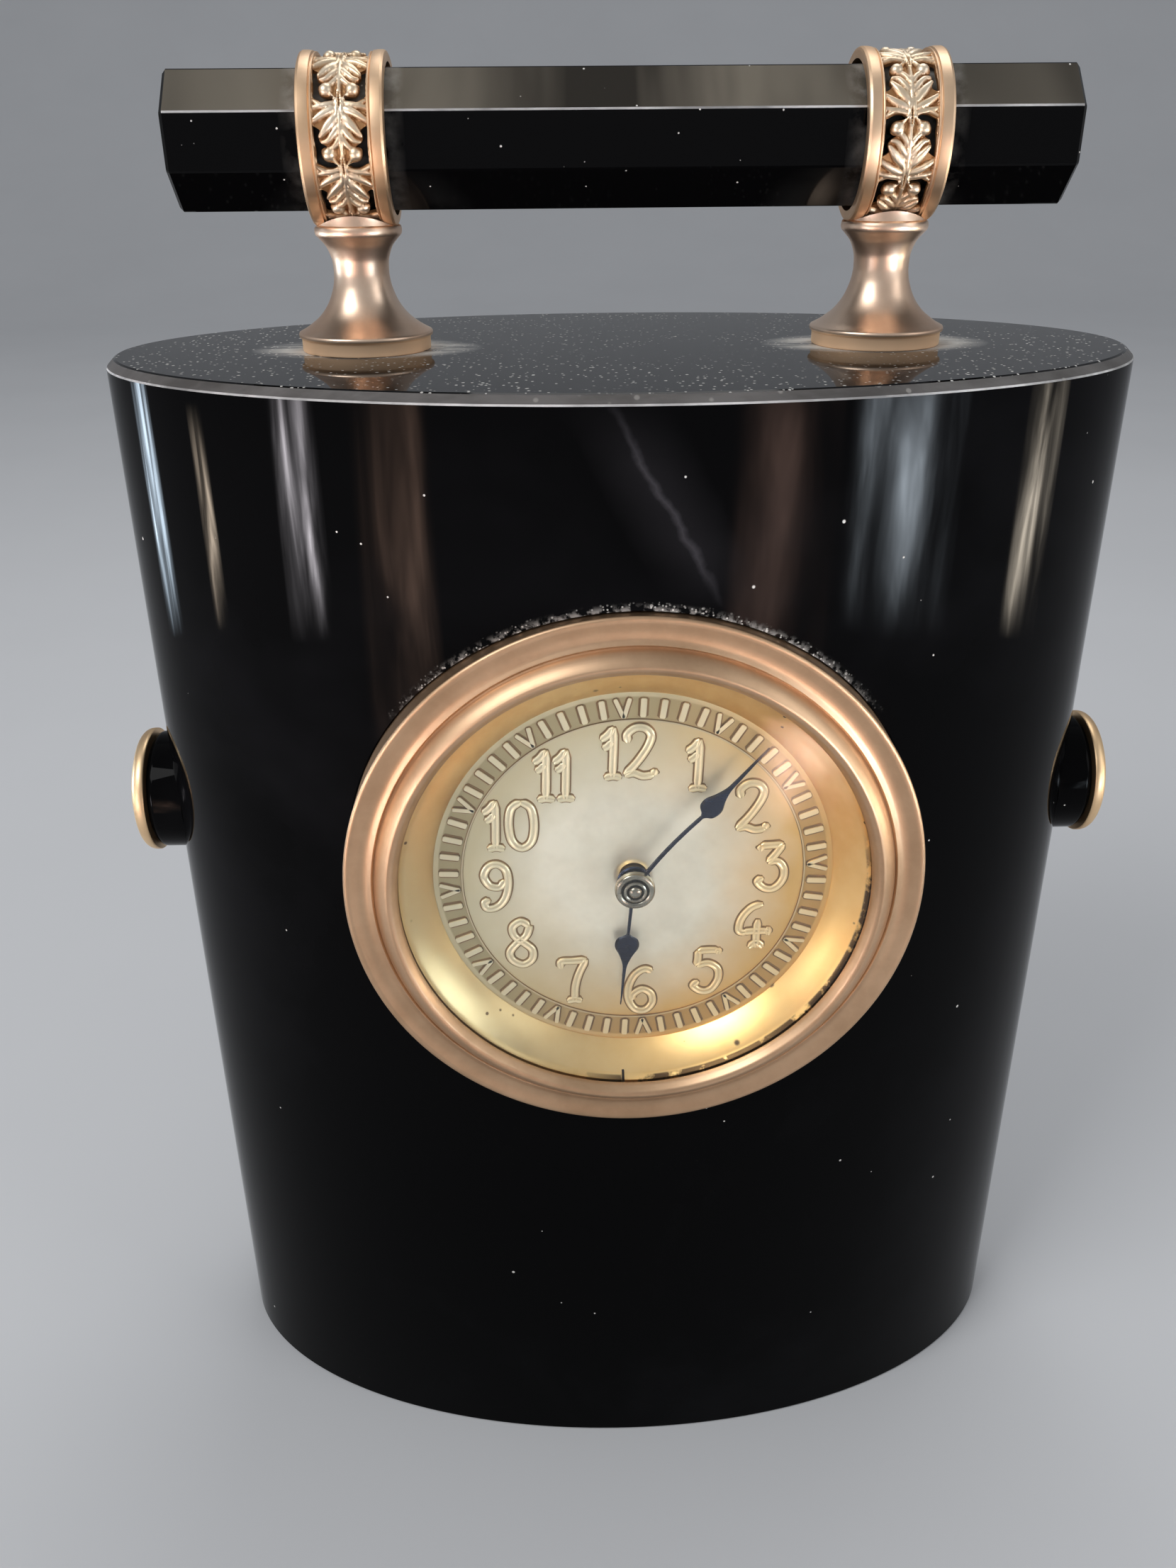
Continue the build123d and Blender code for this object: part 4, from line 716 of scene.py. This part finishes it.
# Turned posts: a foot under a sharp skirt, a trumpet neck, and a rounded lip under the collar
def posts():
    base = [(0, -9), (stud_radius, -9), (stud_radius, 0), (7.3, 0), (7.42, 0.1), (7.45, 0.3), (7.45, 1.35)]
    skirt = [(7.52, 1.5), (7.7, 1.6), (post_base_radius, 1.72), (post_base_radius, 1.9), (7.68, 2.05)]
    flare = smooth([(7.5, 2.14), (6.5, 2.7), (5.1, 3.8), (4.05, 5.2), (3.4, 6.8), (3.17, 8), (3.15, 8.8)])
    cup = smooth([(3.15, 8.8), (3.25, 9.9), (3.75, 11.2), (4.45, 12.05), (4.75, 12.35)])
    lip = arc((4.78, 12.38), (4.92, 12.9), (4.78, 13.4), 8)
    neck = [(4.62, 13.5), (4.6, 13.6), (4.6, 16), (0, 16)]
    outline = [(radius, body_height + z) for radius, z in base + skirt + flare + cup[1:] + lip + neck]
    for side, name in SIDES:
        shape = lathe(outline, (side * post_x, 0, 0), "z", 128)
        node = f"{name}_handle_post"
        made = piece(f"{name}_turned_post", shape, post_brass, [node], 40)
        cut(made, [disc(collar_outer, side * post_x - 9, side * post_x + 9, (0, 0, bar_z), "x")])
        crease_at(made.data, 40)


# Pierced collars: two flat rims, and between them a sheet of leaves, berries and scrolls with openings.
# Places on the sheet are given as millimetres across from its middle and along the way that it grows.
leaf_repeats = 8
leaf_radius = 8.35
leaf_ground = 8.08
leaf_underside = 7.75
sheet_half = 2.95
leaf_repeat = 2 * pi * leaf_radius / leaf_repeats
opening_middle = 2.2
OPENING = [(2.85, 0.12), (2.4, 0.35), (2.1, 0.65), (2.22, 0.95), (2.3, 1.3), (2.12, 1.75), (1.8, 2.0)]
OPENING += [(1.5, 2.2), (1.85, 2.3), (2.1, 2.5), (2.14, 2.95), (1.98, 3.4), (1.7, 3.66), (1.1, 3.74)]
OPENING += [(0.6, 3.85), (0.55, 4.02), (0.75, 4.2), (1.1, 4.36), (1.75, 4.32), (2.3, 4.05), (2.74, 3.75)]
OPENING += [(2.7, 2.7), (2.8, 1.4), (2.84, 0.5)]

# Each stroke is a line of (across, along, half width, height)
LEAVES = [
    [(0.3, -0.95, 0.35, 0.35), (0.8, -0.35, 0.5, 0.5), (1.4, 0.35, 0.5, 0.52), (2.1, 1.15, 0.28, 0.36)],
    [(0.35, -1.6, 0.35, 0.35), (1.1, -1.3, 0.45, 0.5), (1.9, -0.9, 0.42, 0.5), (2.75, -0.35, 0.3, 0.36)],
    [(0.35, -2.15, 0.3, 0.3), (1.2, -1.95, 0.36, 0.42), (2.0, -1.8, 0.34, 0.42), (2.8, -1.65, 0.26, 0.3)],
    [(0.2, 0.2, 0.3, 0.36), (0.75, 0.95, 0.38, 0.46), (1.35, 1.6, 0.32, 0.42), (1.95, 1.75, 0.22, 0.3)],
    [(0.15, 1.2, 0.24, 0.34), (0.5, 1.9, 0.32, 0.42), (1.0, 2.35, 0.28, 0.38), (1.4, 2.3, 0.16, 0.3)],
]
TENDRILS = [
    [(0.0, -1.2, 0.26, 0.42), (0.0, 1.0, 0.26, 0.42), (0.0, 3.2, 0.22, 0.4)],
    [(0.12, 3.1, 0.15, 0.4), (0.2, 4.4, 0.18, 0.44), (0.3, 5.5, 0.2, 0.44), (0.5, 6.9, 0.16, 0.3)],
    [(0.12, 5.1, 0.18, 0.4), (0.35, 4.3, 0.2, 0.42), (0.8, 3.62, 0.2, 0.42), (1.15, 3.2, 0.2, 0.4)],
    [(0.95, 4.55, 0.18, 0.3), (1.9, 4.55, 0.2, 0.34), (2.8, 4.2, 0.2, 0.3)],
    [(2.86, -1.2, 0.16, 0.28), (2.88, 2.0, 0.14, 0.24), (2.86, 5.2, 0.16, 0.28)],
]
berry_place, berry_radius, berry_height = (1.38, 2.95), 0.72, 0.62


def relief(across, along):
    """How far the leaf work stands above its ground, at places given as two arrays."""
    height = np.zeros_like(across)
    strokes = [(stroke, 0.28) for stroke in LEAVES] + [(stroke, 0) for stroke in TENDRILS]
    for turn in (-leaf_repeat, 0, leaf_repeat):
        for stroke, vein in strokes:
            line = smooth(stroke, 6)
            for (a, w, half, lift), (next_a, next_w, next_half, next_lift) in zip(line, line[1:]):
                da, dw = next_a - a, next_w - w
                over_a, over_w = across - a, along - turn - w
                t = np.clip((over_a * da + over_w * dw) / (da * da + dw * dw), 0, 1)
                share = np.hypot(over_a - t * da, over_w - t * dw) / (half + (next_half - half) * t)
                bulge = np.sqrt(np.clip(1 - share**2, 0, 1)) - vein * np.exp(-((share / 0.22) ** 2))
                height = np.maximum(height, (lift + (next_lift - lift) * t) * bulge)
        from_berry = np.hypot(across - berry_place[0], along - turn - berry_place[1]) / berry_radius
        height = np.maximum(height, berry_height * np.sqrt(np.clip(1 - from_berry**2, 0, 1)))
    return height


def around(loop):
    """Each item of a closed loop, with the one after it."""
    return zip(loop, loop[1:] + loop[:1])


def inside(outline, across, along):
    """Whether a place lies inside a closed outline."""
    within = False
    for (a, w), (next_a, next_w) in around(outline):
        if (w > along) != (next_w > along) and across < a + (next_a - a) * (along - w) / (next_w - w):
            within = not within
    return within


def leaf_cell(step=0.15):
    """One repeat of the sheet, laid flat: its places, its triangles, and its open edges."""
    places, edges = [], []
    rows = 2 * round(leaf_repeat / step / sin(pi / 3) / 2)
    count = int(sheet_half / step) - 1
    for row in range(rows + 1):
        along = leaf_repeat * row / rows
        shift = step / 2 if row % 2 else 0.0
        places += [(i * step + shift, along) for i in range(-count, count + 1)]
        places += [(-sheet_half, along), (sheet_half, along)]
    outline = smooth(OPENING + OPENING[:1], 3)[:-1]
    for side in (-1, 1):
        first = len(places)
        places += [(side * across, along) for across, along in outline]
        edges += around(list(range(first, len(places))))
    found = delaunay_2d_cdt([Vector(place) for place in places], edges, [], 0, 1e-5)
    flat = [tuple(place) for place in found[0]]
    triangles = []
    for triangle in found[2]:
        across = sum(flat[i][0] for i in triangle) / 3
        along = sum(flat[i][1] for i in triangle) / 3
        if not inside(outline, abs(across), along):
            triangles.append(tuple(triangle))
    uses = Counter(frozenset(edge) for triangle in triangles for edge in around(triangle))
    open_edges = []
    for edge, number in uses.items():
        i, j = edge
        level = flat[i][1] == flat[j][1]
        at_seam = not step / 9 <= flat[i][1] <= leaf_repeat - step / 9
        if number == 1 and not (level and at_seam):
            open_edges.append((i, j))
    return flat, triangles, open_edges


cell_places, cell_triangles, cell_edges = leaf_cell()
cell_across = np.array([abs(place[0]) for place in cell_places])
cell_along = np.array([place[1] for place in cell_places])
cell_heights = relief(cell_across, cell_along)


def collar(side, name, phase):
    """One collar, an opening's middle at an angle above its front; the left one's leaves grow down."""
    x0 = side * post_x
    shapes = []
    for repeat in range(leaf_repeats):
        outer, inner = [], []
        for (across, along), height in zip(cell_places, cell_heights):
            angle = radians(phase) + side * (along + repeat * leaf_repeat - opening_middle) / leaf_radius
            outward = Vector((0, -cos(angle), sin(angle)))
            middle = Vector((x0 + across, 0, bar_z))
            outer.append(middle + outward * (leaf_ground + float(height)))
            inner.append(middle + outward * leaf_underside)
        size = len(outer)
        faces = list(cell_triangles)
        faces += [tuple(size + i for i in reversed(triangle)) for triangle in cell_triangles]
        faces += [(i, j, size + j, size + i) for i, j in cell_edges]
        shapes.append((outer + inner, faces))
    rims = []
    half = collar_half
    for edge in (-1, 1):
        outline = [(collar_inner, sheet_half - 0.1), (collar_inner, half), (8.4, half), (8.62, half - 0.1)]
        outline += [(8.7, half - 0.25), (collar_outer, half - 0.35), (collar_outer, half - 0.9)]
        outline += [(8.68, 3.25), (8.5, 3.14), (8.48, 3.1)] + arc((8.5, 3.08), (8.6, 2.97), (8.48, 2.86), 5)
        outline.append((8.1, sheet_half - 0.1))
        rims.append(lathe([(radius, edge * x) for radius, x in outline], (x0, 0, bar_z), "x", 160))
    node = f"{name}_pierced_collar"
    piece(f"{name}_collar_rims", join(*rims), rim_gilt, [node], 24)
    piece(f"{name}_collar_leaves", join(*shapes), leaf_gilt, [node], 50)


# Side bosses
def bosses():
    """A stone disc with a rounded shoulder, and a domed cap on it with a stud into the column."""
    edge, face = roundel_radius, roundel_outer_x
    roundel = [(stud_radius, boss_seat_x), (edge, boss_seat_x)]
    roundel += arc((edge, face - 1), (edge - 0.3, face - 0.3), (edge - 1, face), 8) + [(stud_radius, face)]
    dome = arc((0.02, 0), (4.6, -0.42), (7.2, -1.25), 12)
    dome += arc((7.3, -1.3), (cap_radius - 0.15, -1.9), (cap_radius, -2.5), 8)
    cap = [(radius, cap_outer_x + x) for radius, x in dome]
    cap += [(cap_radius, face + 0.25), (cap_radius - 0.1, face + 0.12), (7.4, face), (stud_radius, face)]
    cap += [(stud_radius, boss_seat_x - 9), (0, boss_seat_x - 9), (0, cap_outer_x)]
    for side, name in SIDES:
        shapes = []
        for outline in (roundel, cap):
            shapes.append(lathe([(radius, side * x) for radius, x in outline], (0, 0, boss_z), "x", 128))
        piece(f"{name}_stone_roundel", shapes[0], stone, [f"{name}_side_roundel"])
        piece(f"{name}_gilt_cap", shapes[1], cap_gilt, [f"{name}_boss_cap"], 40)


# Clock face
def bezel():
    """A flat rim with a shallow groove in it, and a step up to a crest beside the glass."""
    front, edge = -33.1, bezel_radius
    face = arc((edge, 0.5), (edge - 0.12, 0.1), (edge - 0.5, 0), 6)
    face += smooth([(32.7, 0.02), (31.7, 0.3), (30.9, 0.32), (30.3, 0.08)], 6)
    face += [(30.2, 0.04), (30.1, 0.1), (30.0, 0.25), (29.92, 0.2), (29.8, -0.1)]
    face += arc((29.78, -0.15), (29.0, -1.2), (28.3, -1.7), 10)
    face += smooth([(28.2, -1.7), (28.0, -1.64), (27.7, -1.45), (27.3, -0.9)], 4)
    outline = [(glass_radius + 0.1, glass_front), (glass_radius + 0.1, front_seat - 0.8)]
    outline += [(edge, front_seat - 0.8), (edge, front + 0.55)]
    outline += [(radius, front + depth) for radius, depth in face]
    outline += [(glass_opening, glass_front - 0.1), (glass_opening, glass_front)]
    shape = lathe(outline, clock_axis, "y", 256)
    piece("turned_bezel", shape, rose_brass, ["bezel"], 50)


def watch_glass():
    rise = glass_front - glass_apex
    edge = glass_opening - 0.05
    curve = (edge**2 + rise**2) / (2 * rise)
    steps = 20
    outer = []
    for i in range(steps + 1):
        radius = edge * i / steps
        outer.append((radius, glass_apex + (curve - sqrt(curve**2 - radius**2))))
    inner = [(radius, y + glass_thickness) for radius, y in reversed(outer)]
    rim = [(glass_radius, glass_front), (glass_radius, glass_front + glass_thickness)]
    shape = lathe(outer + rim + inner, clock_axis, "y")
    piece("convex_glass", shape, glass, ["dial_glass"], 50)


def sight_ring():
    """A gilt cone between glass and dial, with a small notch a little left of the bottom."""
    top = glass_front + glass_thickness
    outline = [(glass_opening, top), (glass_radius, top), (glass_radius, top + 0.7)]
    outline += [(glass_opening + 0.3, top + 0.7), (sight_radius + 0.7, dial_front)]
    outline.append((sight_radius + 0.05, dial_front))
    outline += arc((sight_radius, dial_front - 0.12), (25.1, -30.9), (glass_opening - 0.15, top + 0.25), 8)
    shape = lathe(outline, clock_axis, "y", 240)
    made = piece("gilt_sight_ring", shape, yellow_gilt, ["sight_ring"], 40)
    cut(made, [block((-1.42, top - 1, dial_z - 28.5), (-1.1, top + 1.6, dial_z - 26.1))])
    crease_at(made.data, 40)


def on_dial(u, v, height):
    return Vector((u, dial_front - height, dial_z + v))


# Numerals: each stroke is a line of places from the numeral's middle, drawn six and a half high
STROKES = {
    "0": [
        [(0, 3.1), (-1.15, 2.2), (-1.5, 0), (-1.15, -2.2), (0, -3.1)]
        + [(1.15, -2.2), (1.5, 0), (1.15, 2.2), (0, 3.1)],
    ],
    "1": [
        [(0.1, 3.2), (0.05, 0), (-0.05, -3)],
        [(0.1, 3.2), (-0.6, 2.3), (-1.35, 1.7)],
        [(-0.05, 1.5), (-0.6, 0.9), (-1.1, 0.6)],
        [(-0.95, -3.15), (0, -2.95), (0.95, -3.15)],
    ],
    "2": [
        [(-1.25, 1.35), (-1.35, 2.35), (-0.4, 3.15), (0.75, 3.05), (1.4, 2.1), (1, 0.7), (-0.2, -1.2)]
        + [(-1.6, -2.8)],
        [(-1.65, -2.85), (-0.6, -2.6), (0.5, -3), (1.75, -2.85)],
        [(1.75, -2.85), (1.9, -2.2)],
    ],
    "3": [
        [(-1.35, 2.3), (-1.3, 2.95)],
        [(-1.3, 2.95), (0, 3), (1.35, 3.1)],
        [(1.35, 3.1), (0.6, 1.9), (-0.35, 0.65)],
        [(-0.35, 0.65), (0.8, 0.75), (1.6, -0.3), (1.55, -1.8), (0.6, -3), (-0.6, -3), (-1.5, -2.1)]
        + [(-0.9, -1.5)],
    ],
    "4": [
        [(1, 3.2), (-0.4, 2.6), (-1.5, 1.1), (-1.75, -0.6), (-0.9, -0.95)],
        [(-1.3, -0.85), (0.3, -0.7), (1.9, -0.75)],
        [(1.9, -0.2), (1.85, -1.3)],
        [(0.55, 0.9), (0.45, -1.2), (0.5, -3.1)],
        [(-0.4, -3.1), (0.5, -2.4), (1.3, -3.1)],
    ],
    "5": [
        [(-1, 2.95), (0.3, 3.05), (1.5, 3)],
        [(1.5, 3.3), (1.5, 2.5)],
        [(-1, 2.95), (-1, 1.9), (-1.1, 0.75)],
        [(-1.1, 0.75), (0.3, 1.1), (1.5, 0.2), (1.6, -1.4), (0.7, -2.9), (-0.5, -3.1), (-1.5, -2.3)]
        + [(-0.9, -1.6)],
    ],
    "6": [
        [(1.35, 2.75), (0.5, 3.15), (-0.7, 2.3), (-1.5, 0.5), (-1.5, -1.4), (-0.7, -2.9), (0.6, -3.1)]
        + [(1.5, -2), (1.3, -0.6), (0.2, 0.1), (-0.9, -0.6), (-1.1, -1.4)],
    ],
    "7": [
        [(-1.55, 1.9), (-1.5, 2.8), (0, 2.9), (1.6, 3.05)],
        [(1.6, 3.05), (0.7, 1), (0.2, -1), (0.1, -3)],
        [(-0.8, -3.15), (0.1, -2.95), (0.95, -3.15)],
    ],
    "8": [
        [(1, 2.5), (0.1, 3.15), (-0.95, 2.4), (-0.8, 1.1), (0.3, 0.1), (1.35, -1), (1.3, -2.4)]
        + [(0.2, -3.15), (-1.1, -2.5), (-1.4, -1.3), (-0.5, 0), (0.6, 1), (1, 2), (1, 2.5)],
    ],
    "9": [
        [(1, 0.9), (0.4, 0), (-0.8, 0.2), (-1.45, 1.5), (-0.9, 2.8), (0.2, 3.15), (1.2, 2.3)]
        + [(1.45, 0.4), (1, -1.6), (0, -2.8), (-1.2, -3), (-1.5, -2.2), (-0.9, -1.8)],
    ],
}
numeral_height = 6.3
numeral_circle = 16.1
stroke_half = 0.5
emboss = 0.32


def numerals():
    """Twelve upright numerals, raised on the dial with a hollow along each stroke."""
    shapes = []
    scale = numeral_height / 6.5
    for hour in range(1, 13):
        across, up = ring_point(numeral_circle, 90 - 30 * hour + dial_turn)
        text = str(hour)
        gap = {"10": 3.1, "11": 2.3, "12": 3}.get(text, 0)
        for i, digit in enumerate(text):
            shift = (i - (len(text) - 1) / 2) * gap
            for stroke in STROKES[digit]:
                line = smooth([(across + (x + shift) * scale, up + y * scale) for x, y in stroke])
                path = []
                for n, (u, v) in enumerate(line):
                    from_end = min(n, len(line) - 1 - n) / 3
                    path.append((u, v, stroke_half * min(1, 0.55 + 0.45 * from_end), emboss))
                shapes.append(ridge(ended(path, 0.14), on_dial, PLATEAU))
    piece("raised_numerals", join(*shapes), dial_finish, crease=25)


def minute_track():
    """An inner line, sixty bars, and a dart at every fifth minute."""
    inner, outer = track_inner, track_outer
    circle = [(*ring_point(inner - 0.15, 6 * i / 4), 0.1, 0.2) for i in range(241)]
    shapes = [ridge(circle, on_dial, BAR)]
    for minute in range(60):
        at = 90 - 6 * minute + dial_turn
        bar_or_dart = [(0.25, 0, 0.4)] if minute % 5 else [(0.2, -2.1, 0.28), (0.2, 2.1, 0.28)]
        for gap, lean, half in bar_or_dart:
            start, end = ring_point(inner + gap, at), ring_point(outer, at + lean)
            path = []
            for t in (0, 0.06, 0.5, 0.94, 1):
                u, v = (a + (b - a) * t for a, b in zip(start, end))
                path.append((u, v, half if 0 < t < 1 else half * 0.7, 0.28))
            shapes.append(ridge(ended(path, 0.08), on_dial, BAR))
    piece("minute_track", join(*shapes), dial_finish)


def dial_plate():
    """The dial's plate, dished a little in the middle, with a worn rim round the centre hole."""
    front, back = dial_front, dial_front + 0.5
    outline = [(1.7, back), (glass_radius - 0.1, back), (glass_radius - 0.1, front), (23.2, front)]
    outline += smooth([(23.0, front), (22.6, front + 0.02), (19.6, front + 0.02), (2.6, front)], 6)
    outline += arc((2.5, front), (2.1, front + 0.05), (1.7, front + 0.2), 5)
    feet = []
    for angle in (90, 210, 330):
        x, z = ring_point(20.5, angle)
        foot = [(0, back), (0.9, back), (0.9, -24.0), (0.5, -24.0), (0.5, -22.8), (0, -22.8)]
        feet.append(lathe(foot, (x, 0, dial_z + z), "y", 24))
    shape = join(lathe(outline, clock_axis, "y"), *feet)
    piece("dial_plate", shape, dial_finish, ["dial"])


# Hands, at the time that the photograph shows
def hand(name, node, body, clockwise, reach, bulb, bulb_half, front, camber, hole, collet):
    """A hand with a bulb, turned clockwise in degrees, on a collet with a hole; lengths are from the axis."""
    thickness = 0.32
    turn = radians(90 - clockwise)

    def place(u, v, height):
        across = u * cos(turn) - v * sin(turn)
        return Vector((across, front + thickness - height, dial_z + u * sin(turn) + v * cos(turn)))

    widths = [(collet - 0.3, 0.24), (bulb - 3, 0.2), (bulb - 1.75, 0.26), (bulb - 1.15, 0.8 * bulb_half)]
    widths += [(bulb - 0.45, bulb_half), (bulb + 0.3, 0.93 * bulb_half), (bulb + 1.3, 0.55 * bulb_half)]
    widths += [(bulb + 2.6, 0.3), (bulb + 4.2, 0.2), (reach, 0.06)]
    path = []
    for along, half in smooth(widths):
        bow = camber * sin(pi * min(along / (bulb - 1), 1))
        path.append((along, bow, half, thickness))
    back = front + thickness
    ring = [(hole, front), (collet - 0.15, front), (collet, front + 0.12), (collet, back), (hole, back)]
    shape = join(ridge(path, place, STRIP), lathe(ring, clock_axis, "y", 96))
    piece(name, shape, blued_steel, [node], body=body)


def hands():
    hand("pear_hour_hand", "hour_hand", "hour_train", 185, 17.3, 9.1, 1.45, -30.45, 0, 1.4, 2)
    hand("pear_minute_hand", "minute_hand", "minute_train", 40, 22.8, 13.6, 1.3, -31.75, 0.35, 0.95, 1.9)
    pin = [(0, -33.05)] + arc((0.2, -33.04), (0.55, -32.95), (0.76, -32.7), 5) + [(0.8, -32.45)]
    inner_ring = [(0.92, -32.45)] + arc((0.95, -32.62), (1.15, -32.8), (1.38, -32.62), 5)
    outer_ring = [(1.41, -32.3), (1.52, -32.3)] + arc((1.56, -32.5), (1.9, -32.68), (2.32, -32.3), 7)
    back = [(2.35, -31.9), (2.3, -31.85), (0.75, -31.8), (0.75, -32.1), (0, -32.1)]
    shape = lathe(pin + inner_ring + outer_ring + back, clock_axis, "y", 96)
    piece("hand_hub", shape, hub_steel, ["hand_collet"], body="minute_train")


# Floor, light and camera
def surroundings():
    """A pale floor that sweeps up into a backdrop behind the clock."""
    half_span, nearest, bend_starts, bend_radius, top = 4.0, -4.0, 1.2, 0.9, 3.0
    line = [(nearest, 0.0), (bend_starts, 0.0)]
    for i in range(1, 25):
        turn = pi / 2 * i / 24
        line.append((bend_starts + bend_radius * sin(turn), bend_radius * (1 - cos(turn))))
    line.append((bend_starts + bend_radius, top))
    points = [(side * half_span, y, z) for y, z in line for side in (-1, 1)]
    faces = [(2 * i, 2 * i + 1, 2 * i + 3, 2 * i + 2) for i in range(len(line) - 1)]
    mesh = bpy.data.meshes.new("floor")
    mesh.from_pydata(points, [], faces)
    mesh.shade_smooth()
    floor = added("floor", mesh)
    paint = Look("floor_paint")
    paint.set(Base_Color=paint.noise(9, 3).ramp(0.3, 0.7).mix((0.64, 0.65, 0.67), (0.66, 0.67, 0.69)))
    paint.set(Roughness=0.8, Specular_IOR_Level=0.1)
    mesh.materials.append(paint.material)
    world = bpy.data.worlds.new("studio")
    world.use_nodes = True
    sky = world.node_tree.nodes["Background"].inputs
    sky["Color"].default_value = (0.88, 0.9, 0.93, 1)
    sky["Strength"].default_value = 0.42
    bpy.context.scene.world = world


def soften(light, grain, seed):
    """Lets a softbox fade unevenly towards its edges; a higher grain breaks it into more streaks."""
    light.use_nodes = True
    nodes = Nodes(light.node_tree, "NewGeometry", "Parametric")
    x, y, _ = nodes.parts()
    cloud = nodes.noise(1.0, 4, 0.5, nodes.stretched((grain, 1.3, 1), (seed, seed, 0)), 0.5)
    across = (x * pi).math("SINE").math("POWER", 1.2)
    along = (y * pi).math("SINE").math("POWER", 1.3)
    uneven = (cloud * 1.9).math("POWER", 5.0)
    strength = light.node_tree.nodes["Emission"].inputs["Strength"]
    nodes.feed(strength, across * along * uneven * 2.0)


def softbox(name, place, aim, width, height, power, colour=(1, 1, 1)):
    light = bpy.data.lights.new(name, "AREA")
    light.shape = "RECTANGLE"
    light.size = width
    light.size_y = height
    light.energy = power
    light.color = colour
    made = added(name, light)
    made.location = place
    made.rotation_euler = (Vector(aim) - Vector(place)).to_track_quat("-Z", "Y").to_euler()
    made.visible_camera = False
    return light


camera_place = Vector((-8.71, -160.97, 171.47))


def camera():
    """The photograph's view, with tilts in radians and the focal length in its pixels."""
    pitch, yaw, roll = 0.4659, 0.0263, -0.0083
    focal_pixels, photo_height, sensor = 1838.86, 2212, 36.0
    forward = Vector((sin(yaw) * cos(pitch), cos(yaw) * cos(pitch), -sin(pitch)))
    right = Vector((cos(yaw), -sin(yaw), 0))
    up = right.cross(forward)
    tilted_right = right * cos(roll) + up * sin(roll)
    tilted_up = up * cos(roll) - right * sin(roll)
    data = bpy.data.cameras.new("camera")
    data.sensor_width = sensor
    data.lens = focal_pixels * sensor / photo_height
    data.clip_start = 0.01
    made = added("camera", data)
    turned = Matrix((tilted_right, tilted_up, -forward)).transposed().to_4x4()
    made.matrix_world = Matrix.Translation(camera_place * MM) @ turned
    bpy.context.scene.camera = made


def dress(names, finish):
    """Gives CAD nodes, named in one line of words, their finish."""
    for name in names.split():
        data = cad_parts[name].data
        data.materials.clear()
        data.materials.append(finish)


column()
bar()
posts()
collar(-1, "left", -4)
collar(1, "right", 0)
bosses()
bezel()
watch_glass()
sight_ring()
dial_plate()
numerals()
minute_track()
hands()

dress("drum_case", drum_brass)
dress("rear_ring rear_door", door_brass)
dress("front_plate back_plate plate_pillars mainspring_barrel barrel_cap centre_wheel", movement_brass)
dress("third_wheel fourth_wheel escape_wheel balance_wheel balance_cock", movement_brass)
dress("cannon_pinion minute_wheel hour_wheel set_knob", movement_brass)
dress("centre_arbor third_arbor fourth_arbor escape_arbor pallet_arbor pallet_lever", cut_steel)
dress("balance_staff winding_arbor ratchet_wheel click regulator_lever winding_key", cut_steel)
dress("minute_wheel_stud door_hinge_pin", cut_steel)
dress("hairspring mainspring plate_screws movement_screws cock_screw click_screw click_spring", blued_steel)

surroundings()
middle = (0, 0, 0.09)
softbox("key", (-0.5, -0.42, 0.72), middle, 0.4, 0.4, 3.2)
softbox("fill", (0.62, -0.35, 0.45), middle, 0.3, 0.4, 0.6)
softbox("overhead", (0.1, 0.3, 0.85), middle, 0.5, 0.3, 1.5)


def streak(name, wall_x, wall_z, width, height, power, colour, grain=2.0, seed=0.0):
    """A gridded softbox set where the polished wall mirrors it to the camera, as a soft cloudy streak."""
    away = 220
    wall = Vector((wall_x, -half_depth * sqrt(1 - (wall_x / half_width) ** 2), wall_z))
    looking = (wall - camera_place).normalized()
    mirrored = looking.reflect(wall_normal(wall.x, wall.y))
    place = (wall + mirrored * away) * MM
    light = softbox(name, place, wall * MM, width * MM, height * MM, power, colour)
    light.spread = radians(50)
    soften(light, grain, seed)


streak("cool_streak", -53, 138, 50, 90, 0.026, (0.7, 0.85, 1.0), 4.0, 0.3)
streak("cream_streak", -46, 134, 24, 60, 0.007, (1.0, 0.82, 0.64), 1.5, 1.7)
streak("left_streak", -35, 140, 46, 90, 0.03, (1.0, 0.94, 1.0), 3.0, 2.6)
streak("left_brown_streak", -25, 130, 64, 130, 0.014, (1.0, 0.62, 0.46), 2.0, 4.1)
streak("right_brown_streak", 15, 134, 80, 120, 0.012, (1.0, 0.62, 0.5), 1.5, 5.3)
streak("right_streak", 28, 140, 100, 90, 0.042, (0.8, 0.9, 1.0), 3.0, 3.2)
streak("far_right_streak", 44, 136, 60, 80, 0.018, (1.0, 0.88, 0.72), 3.0, 6.4)
camera()
bpy.context.scene.view_settings.view_transform = "Standard"
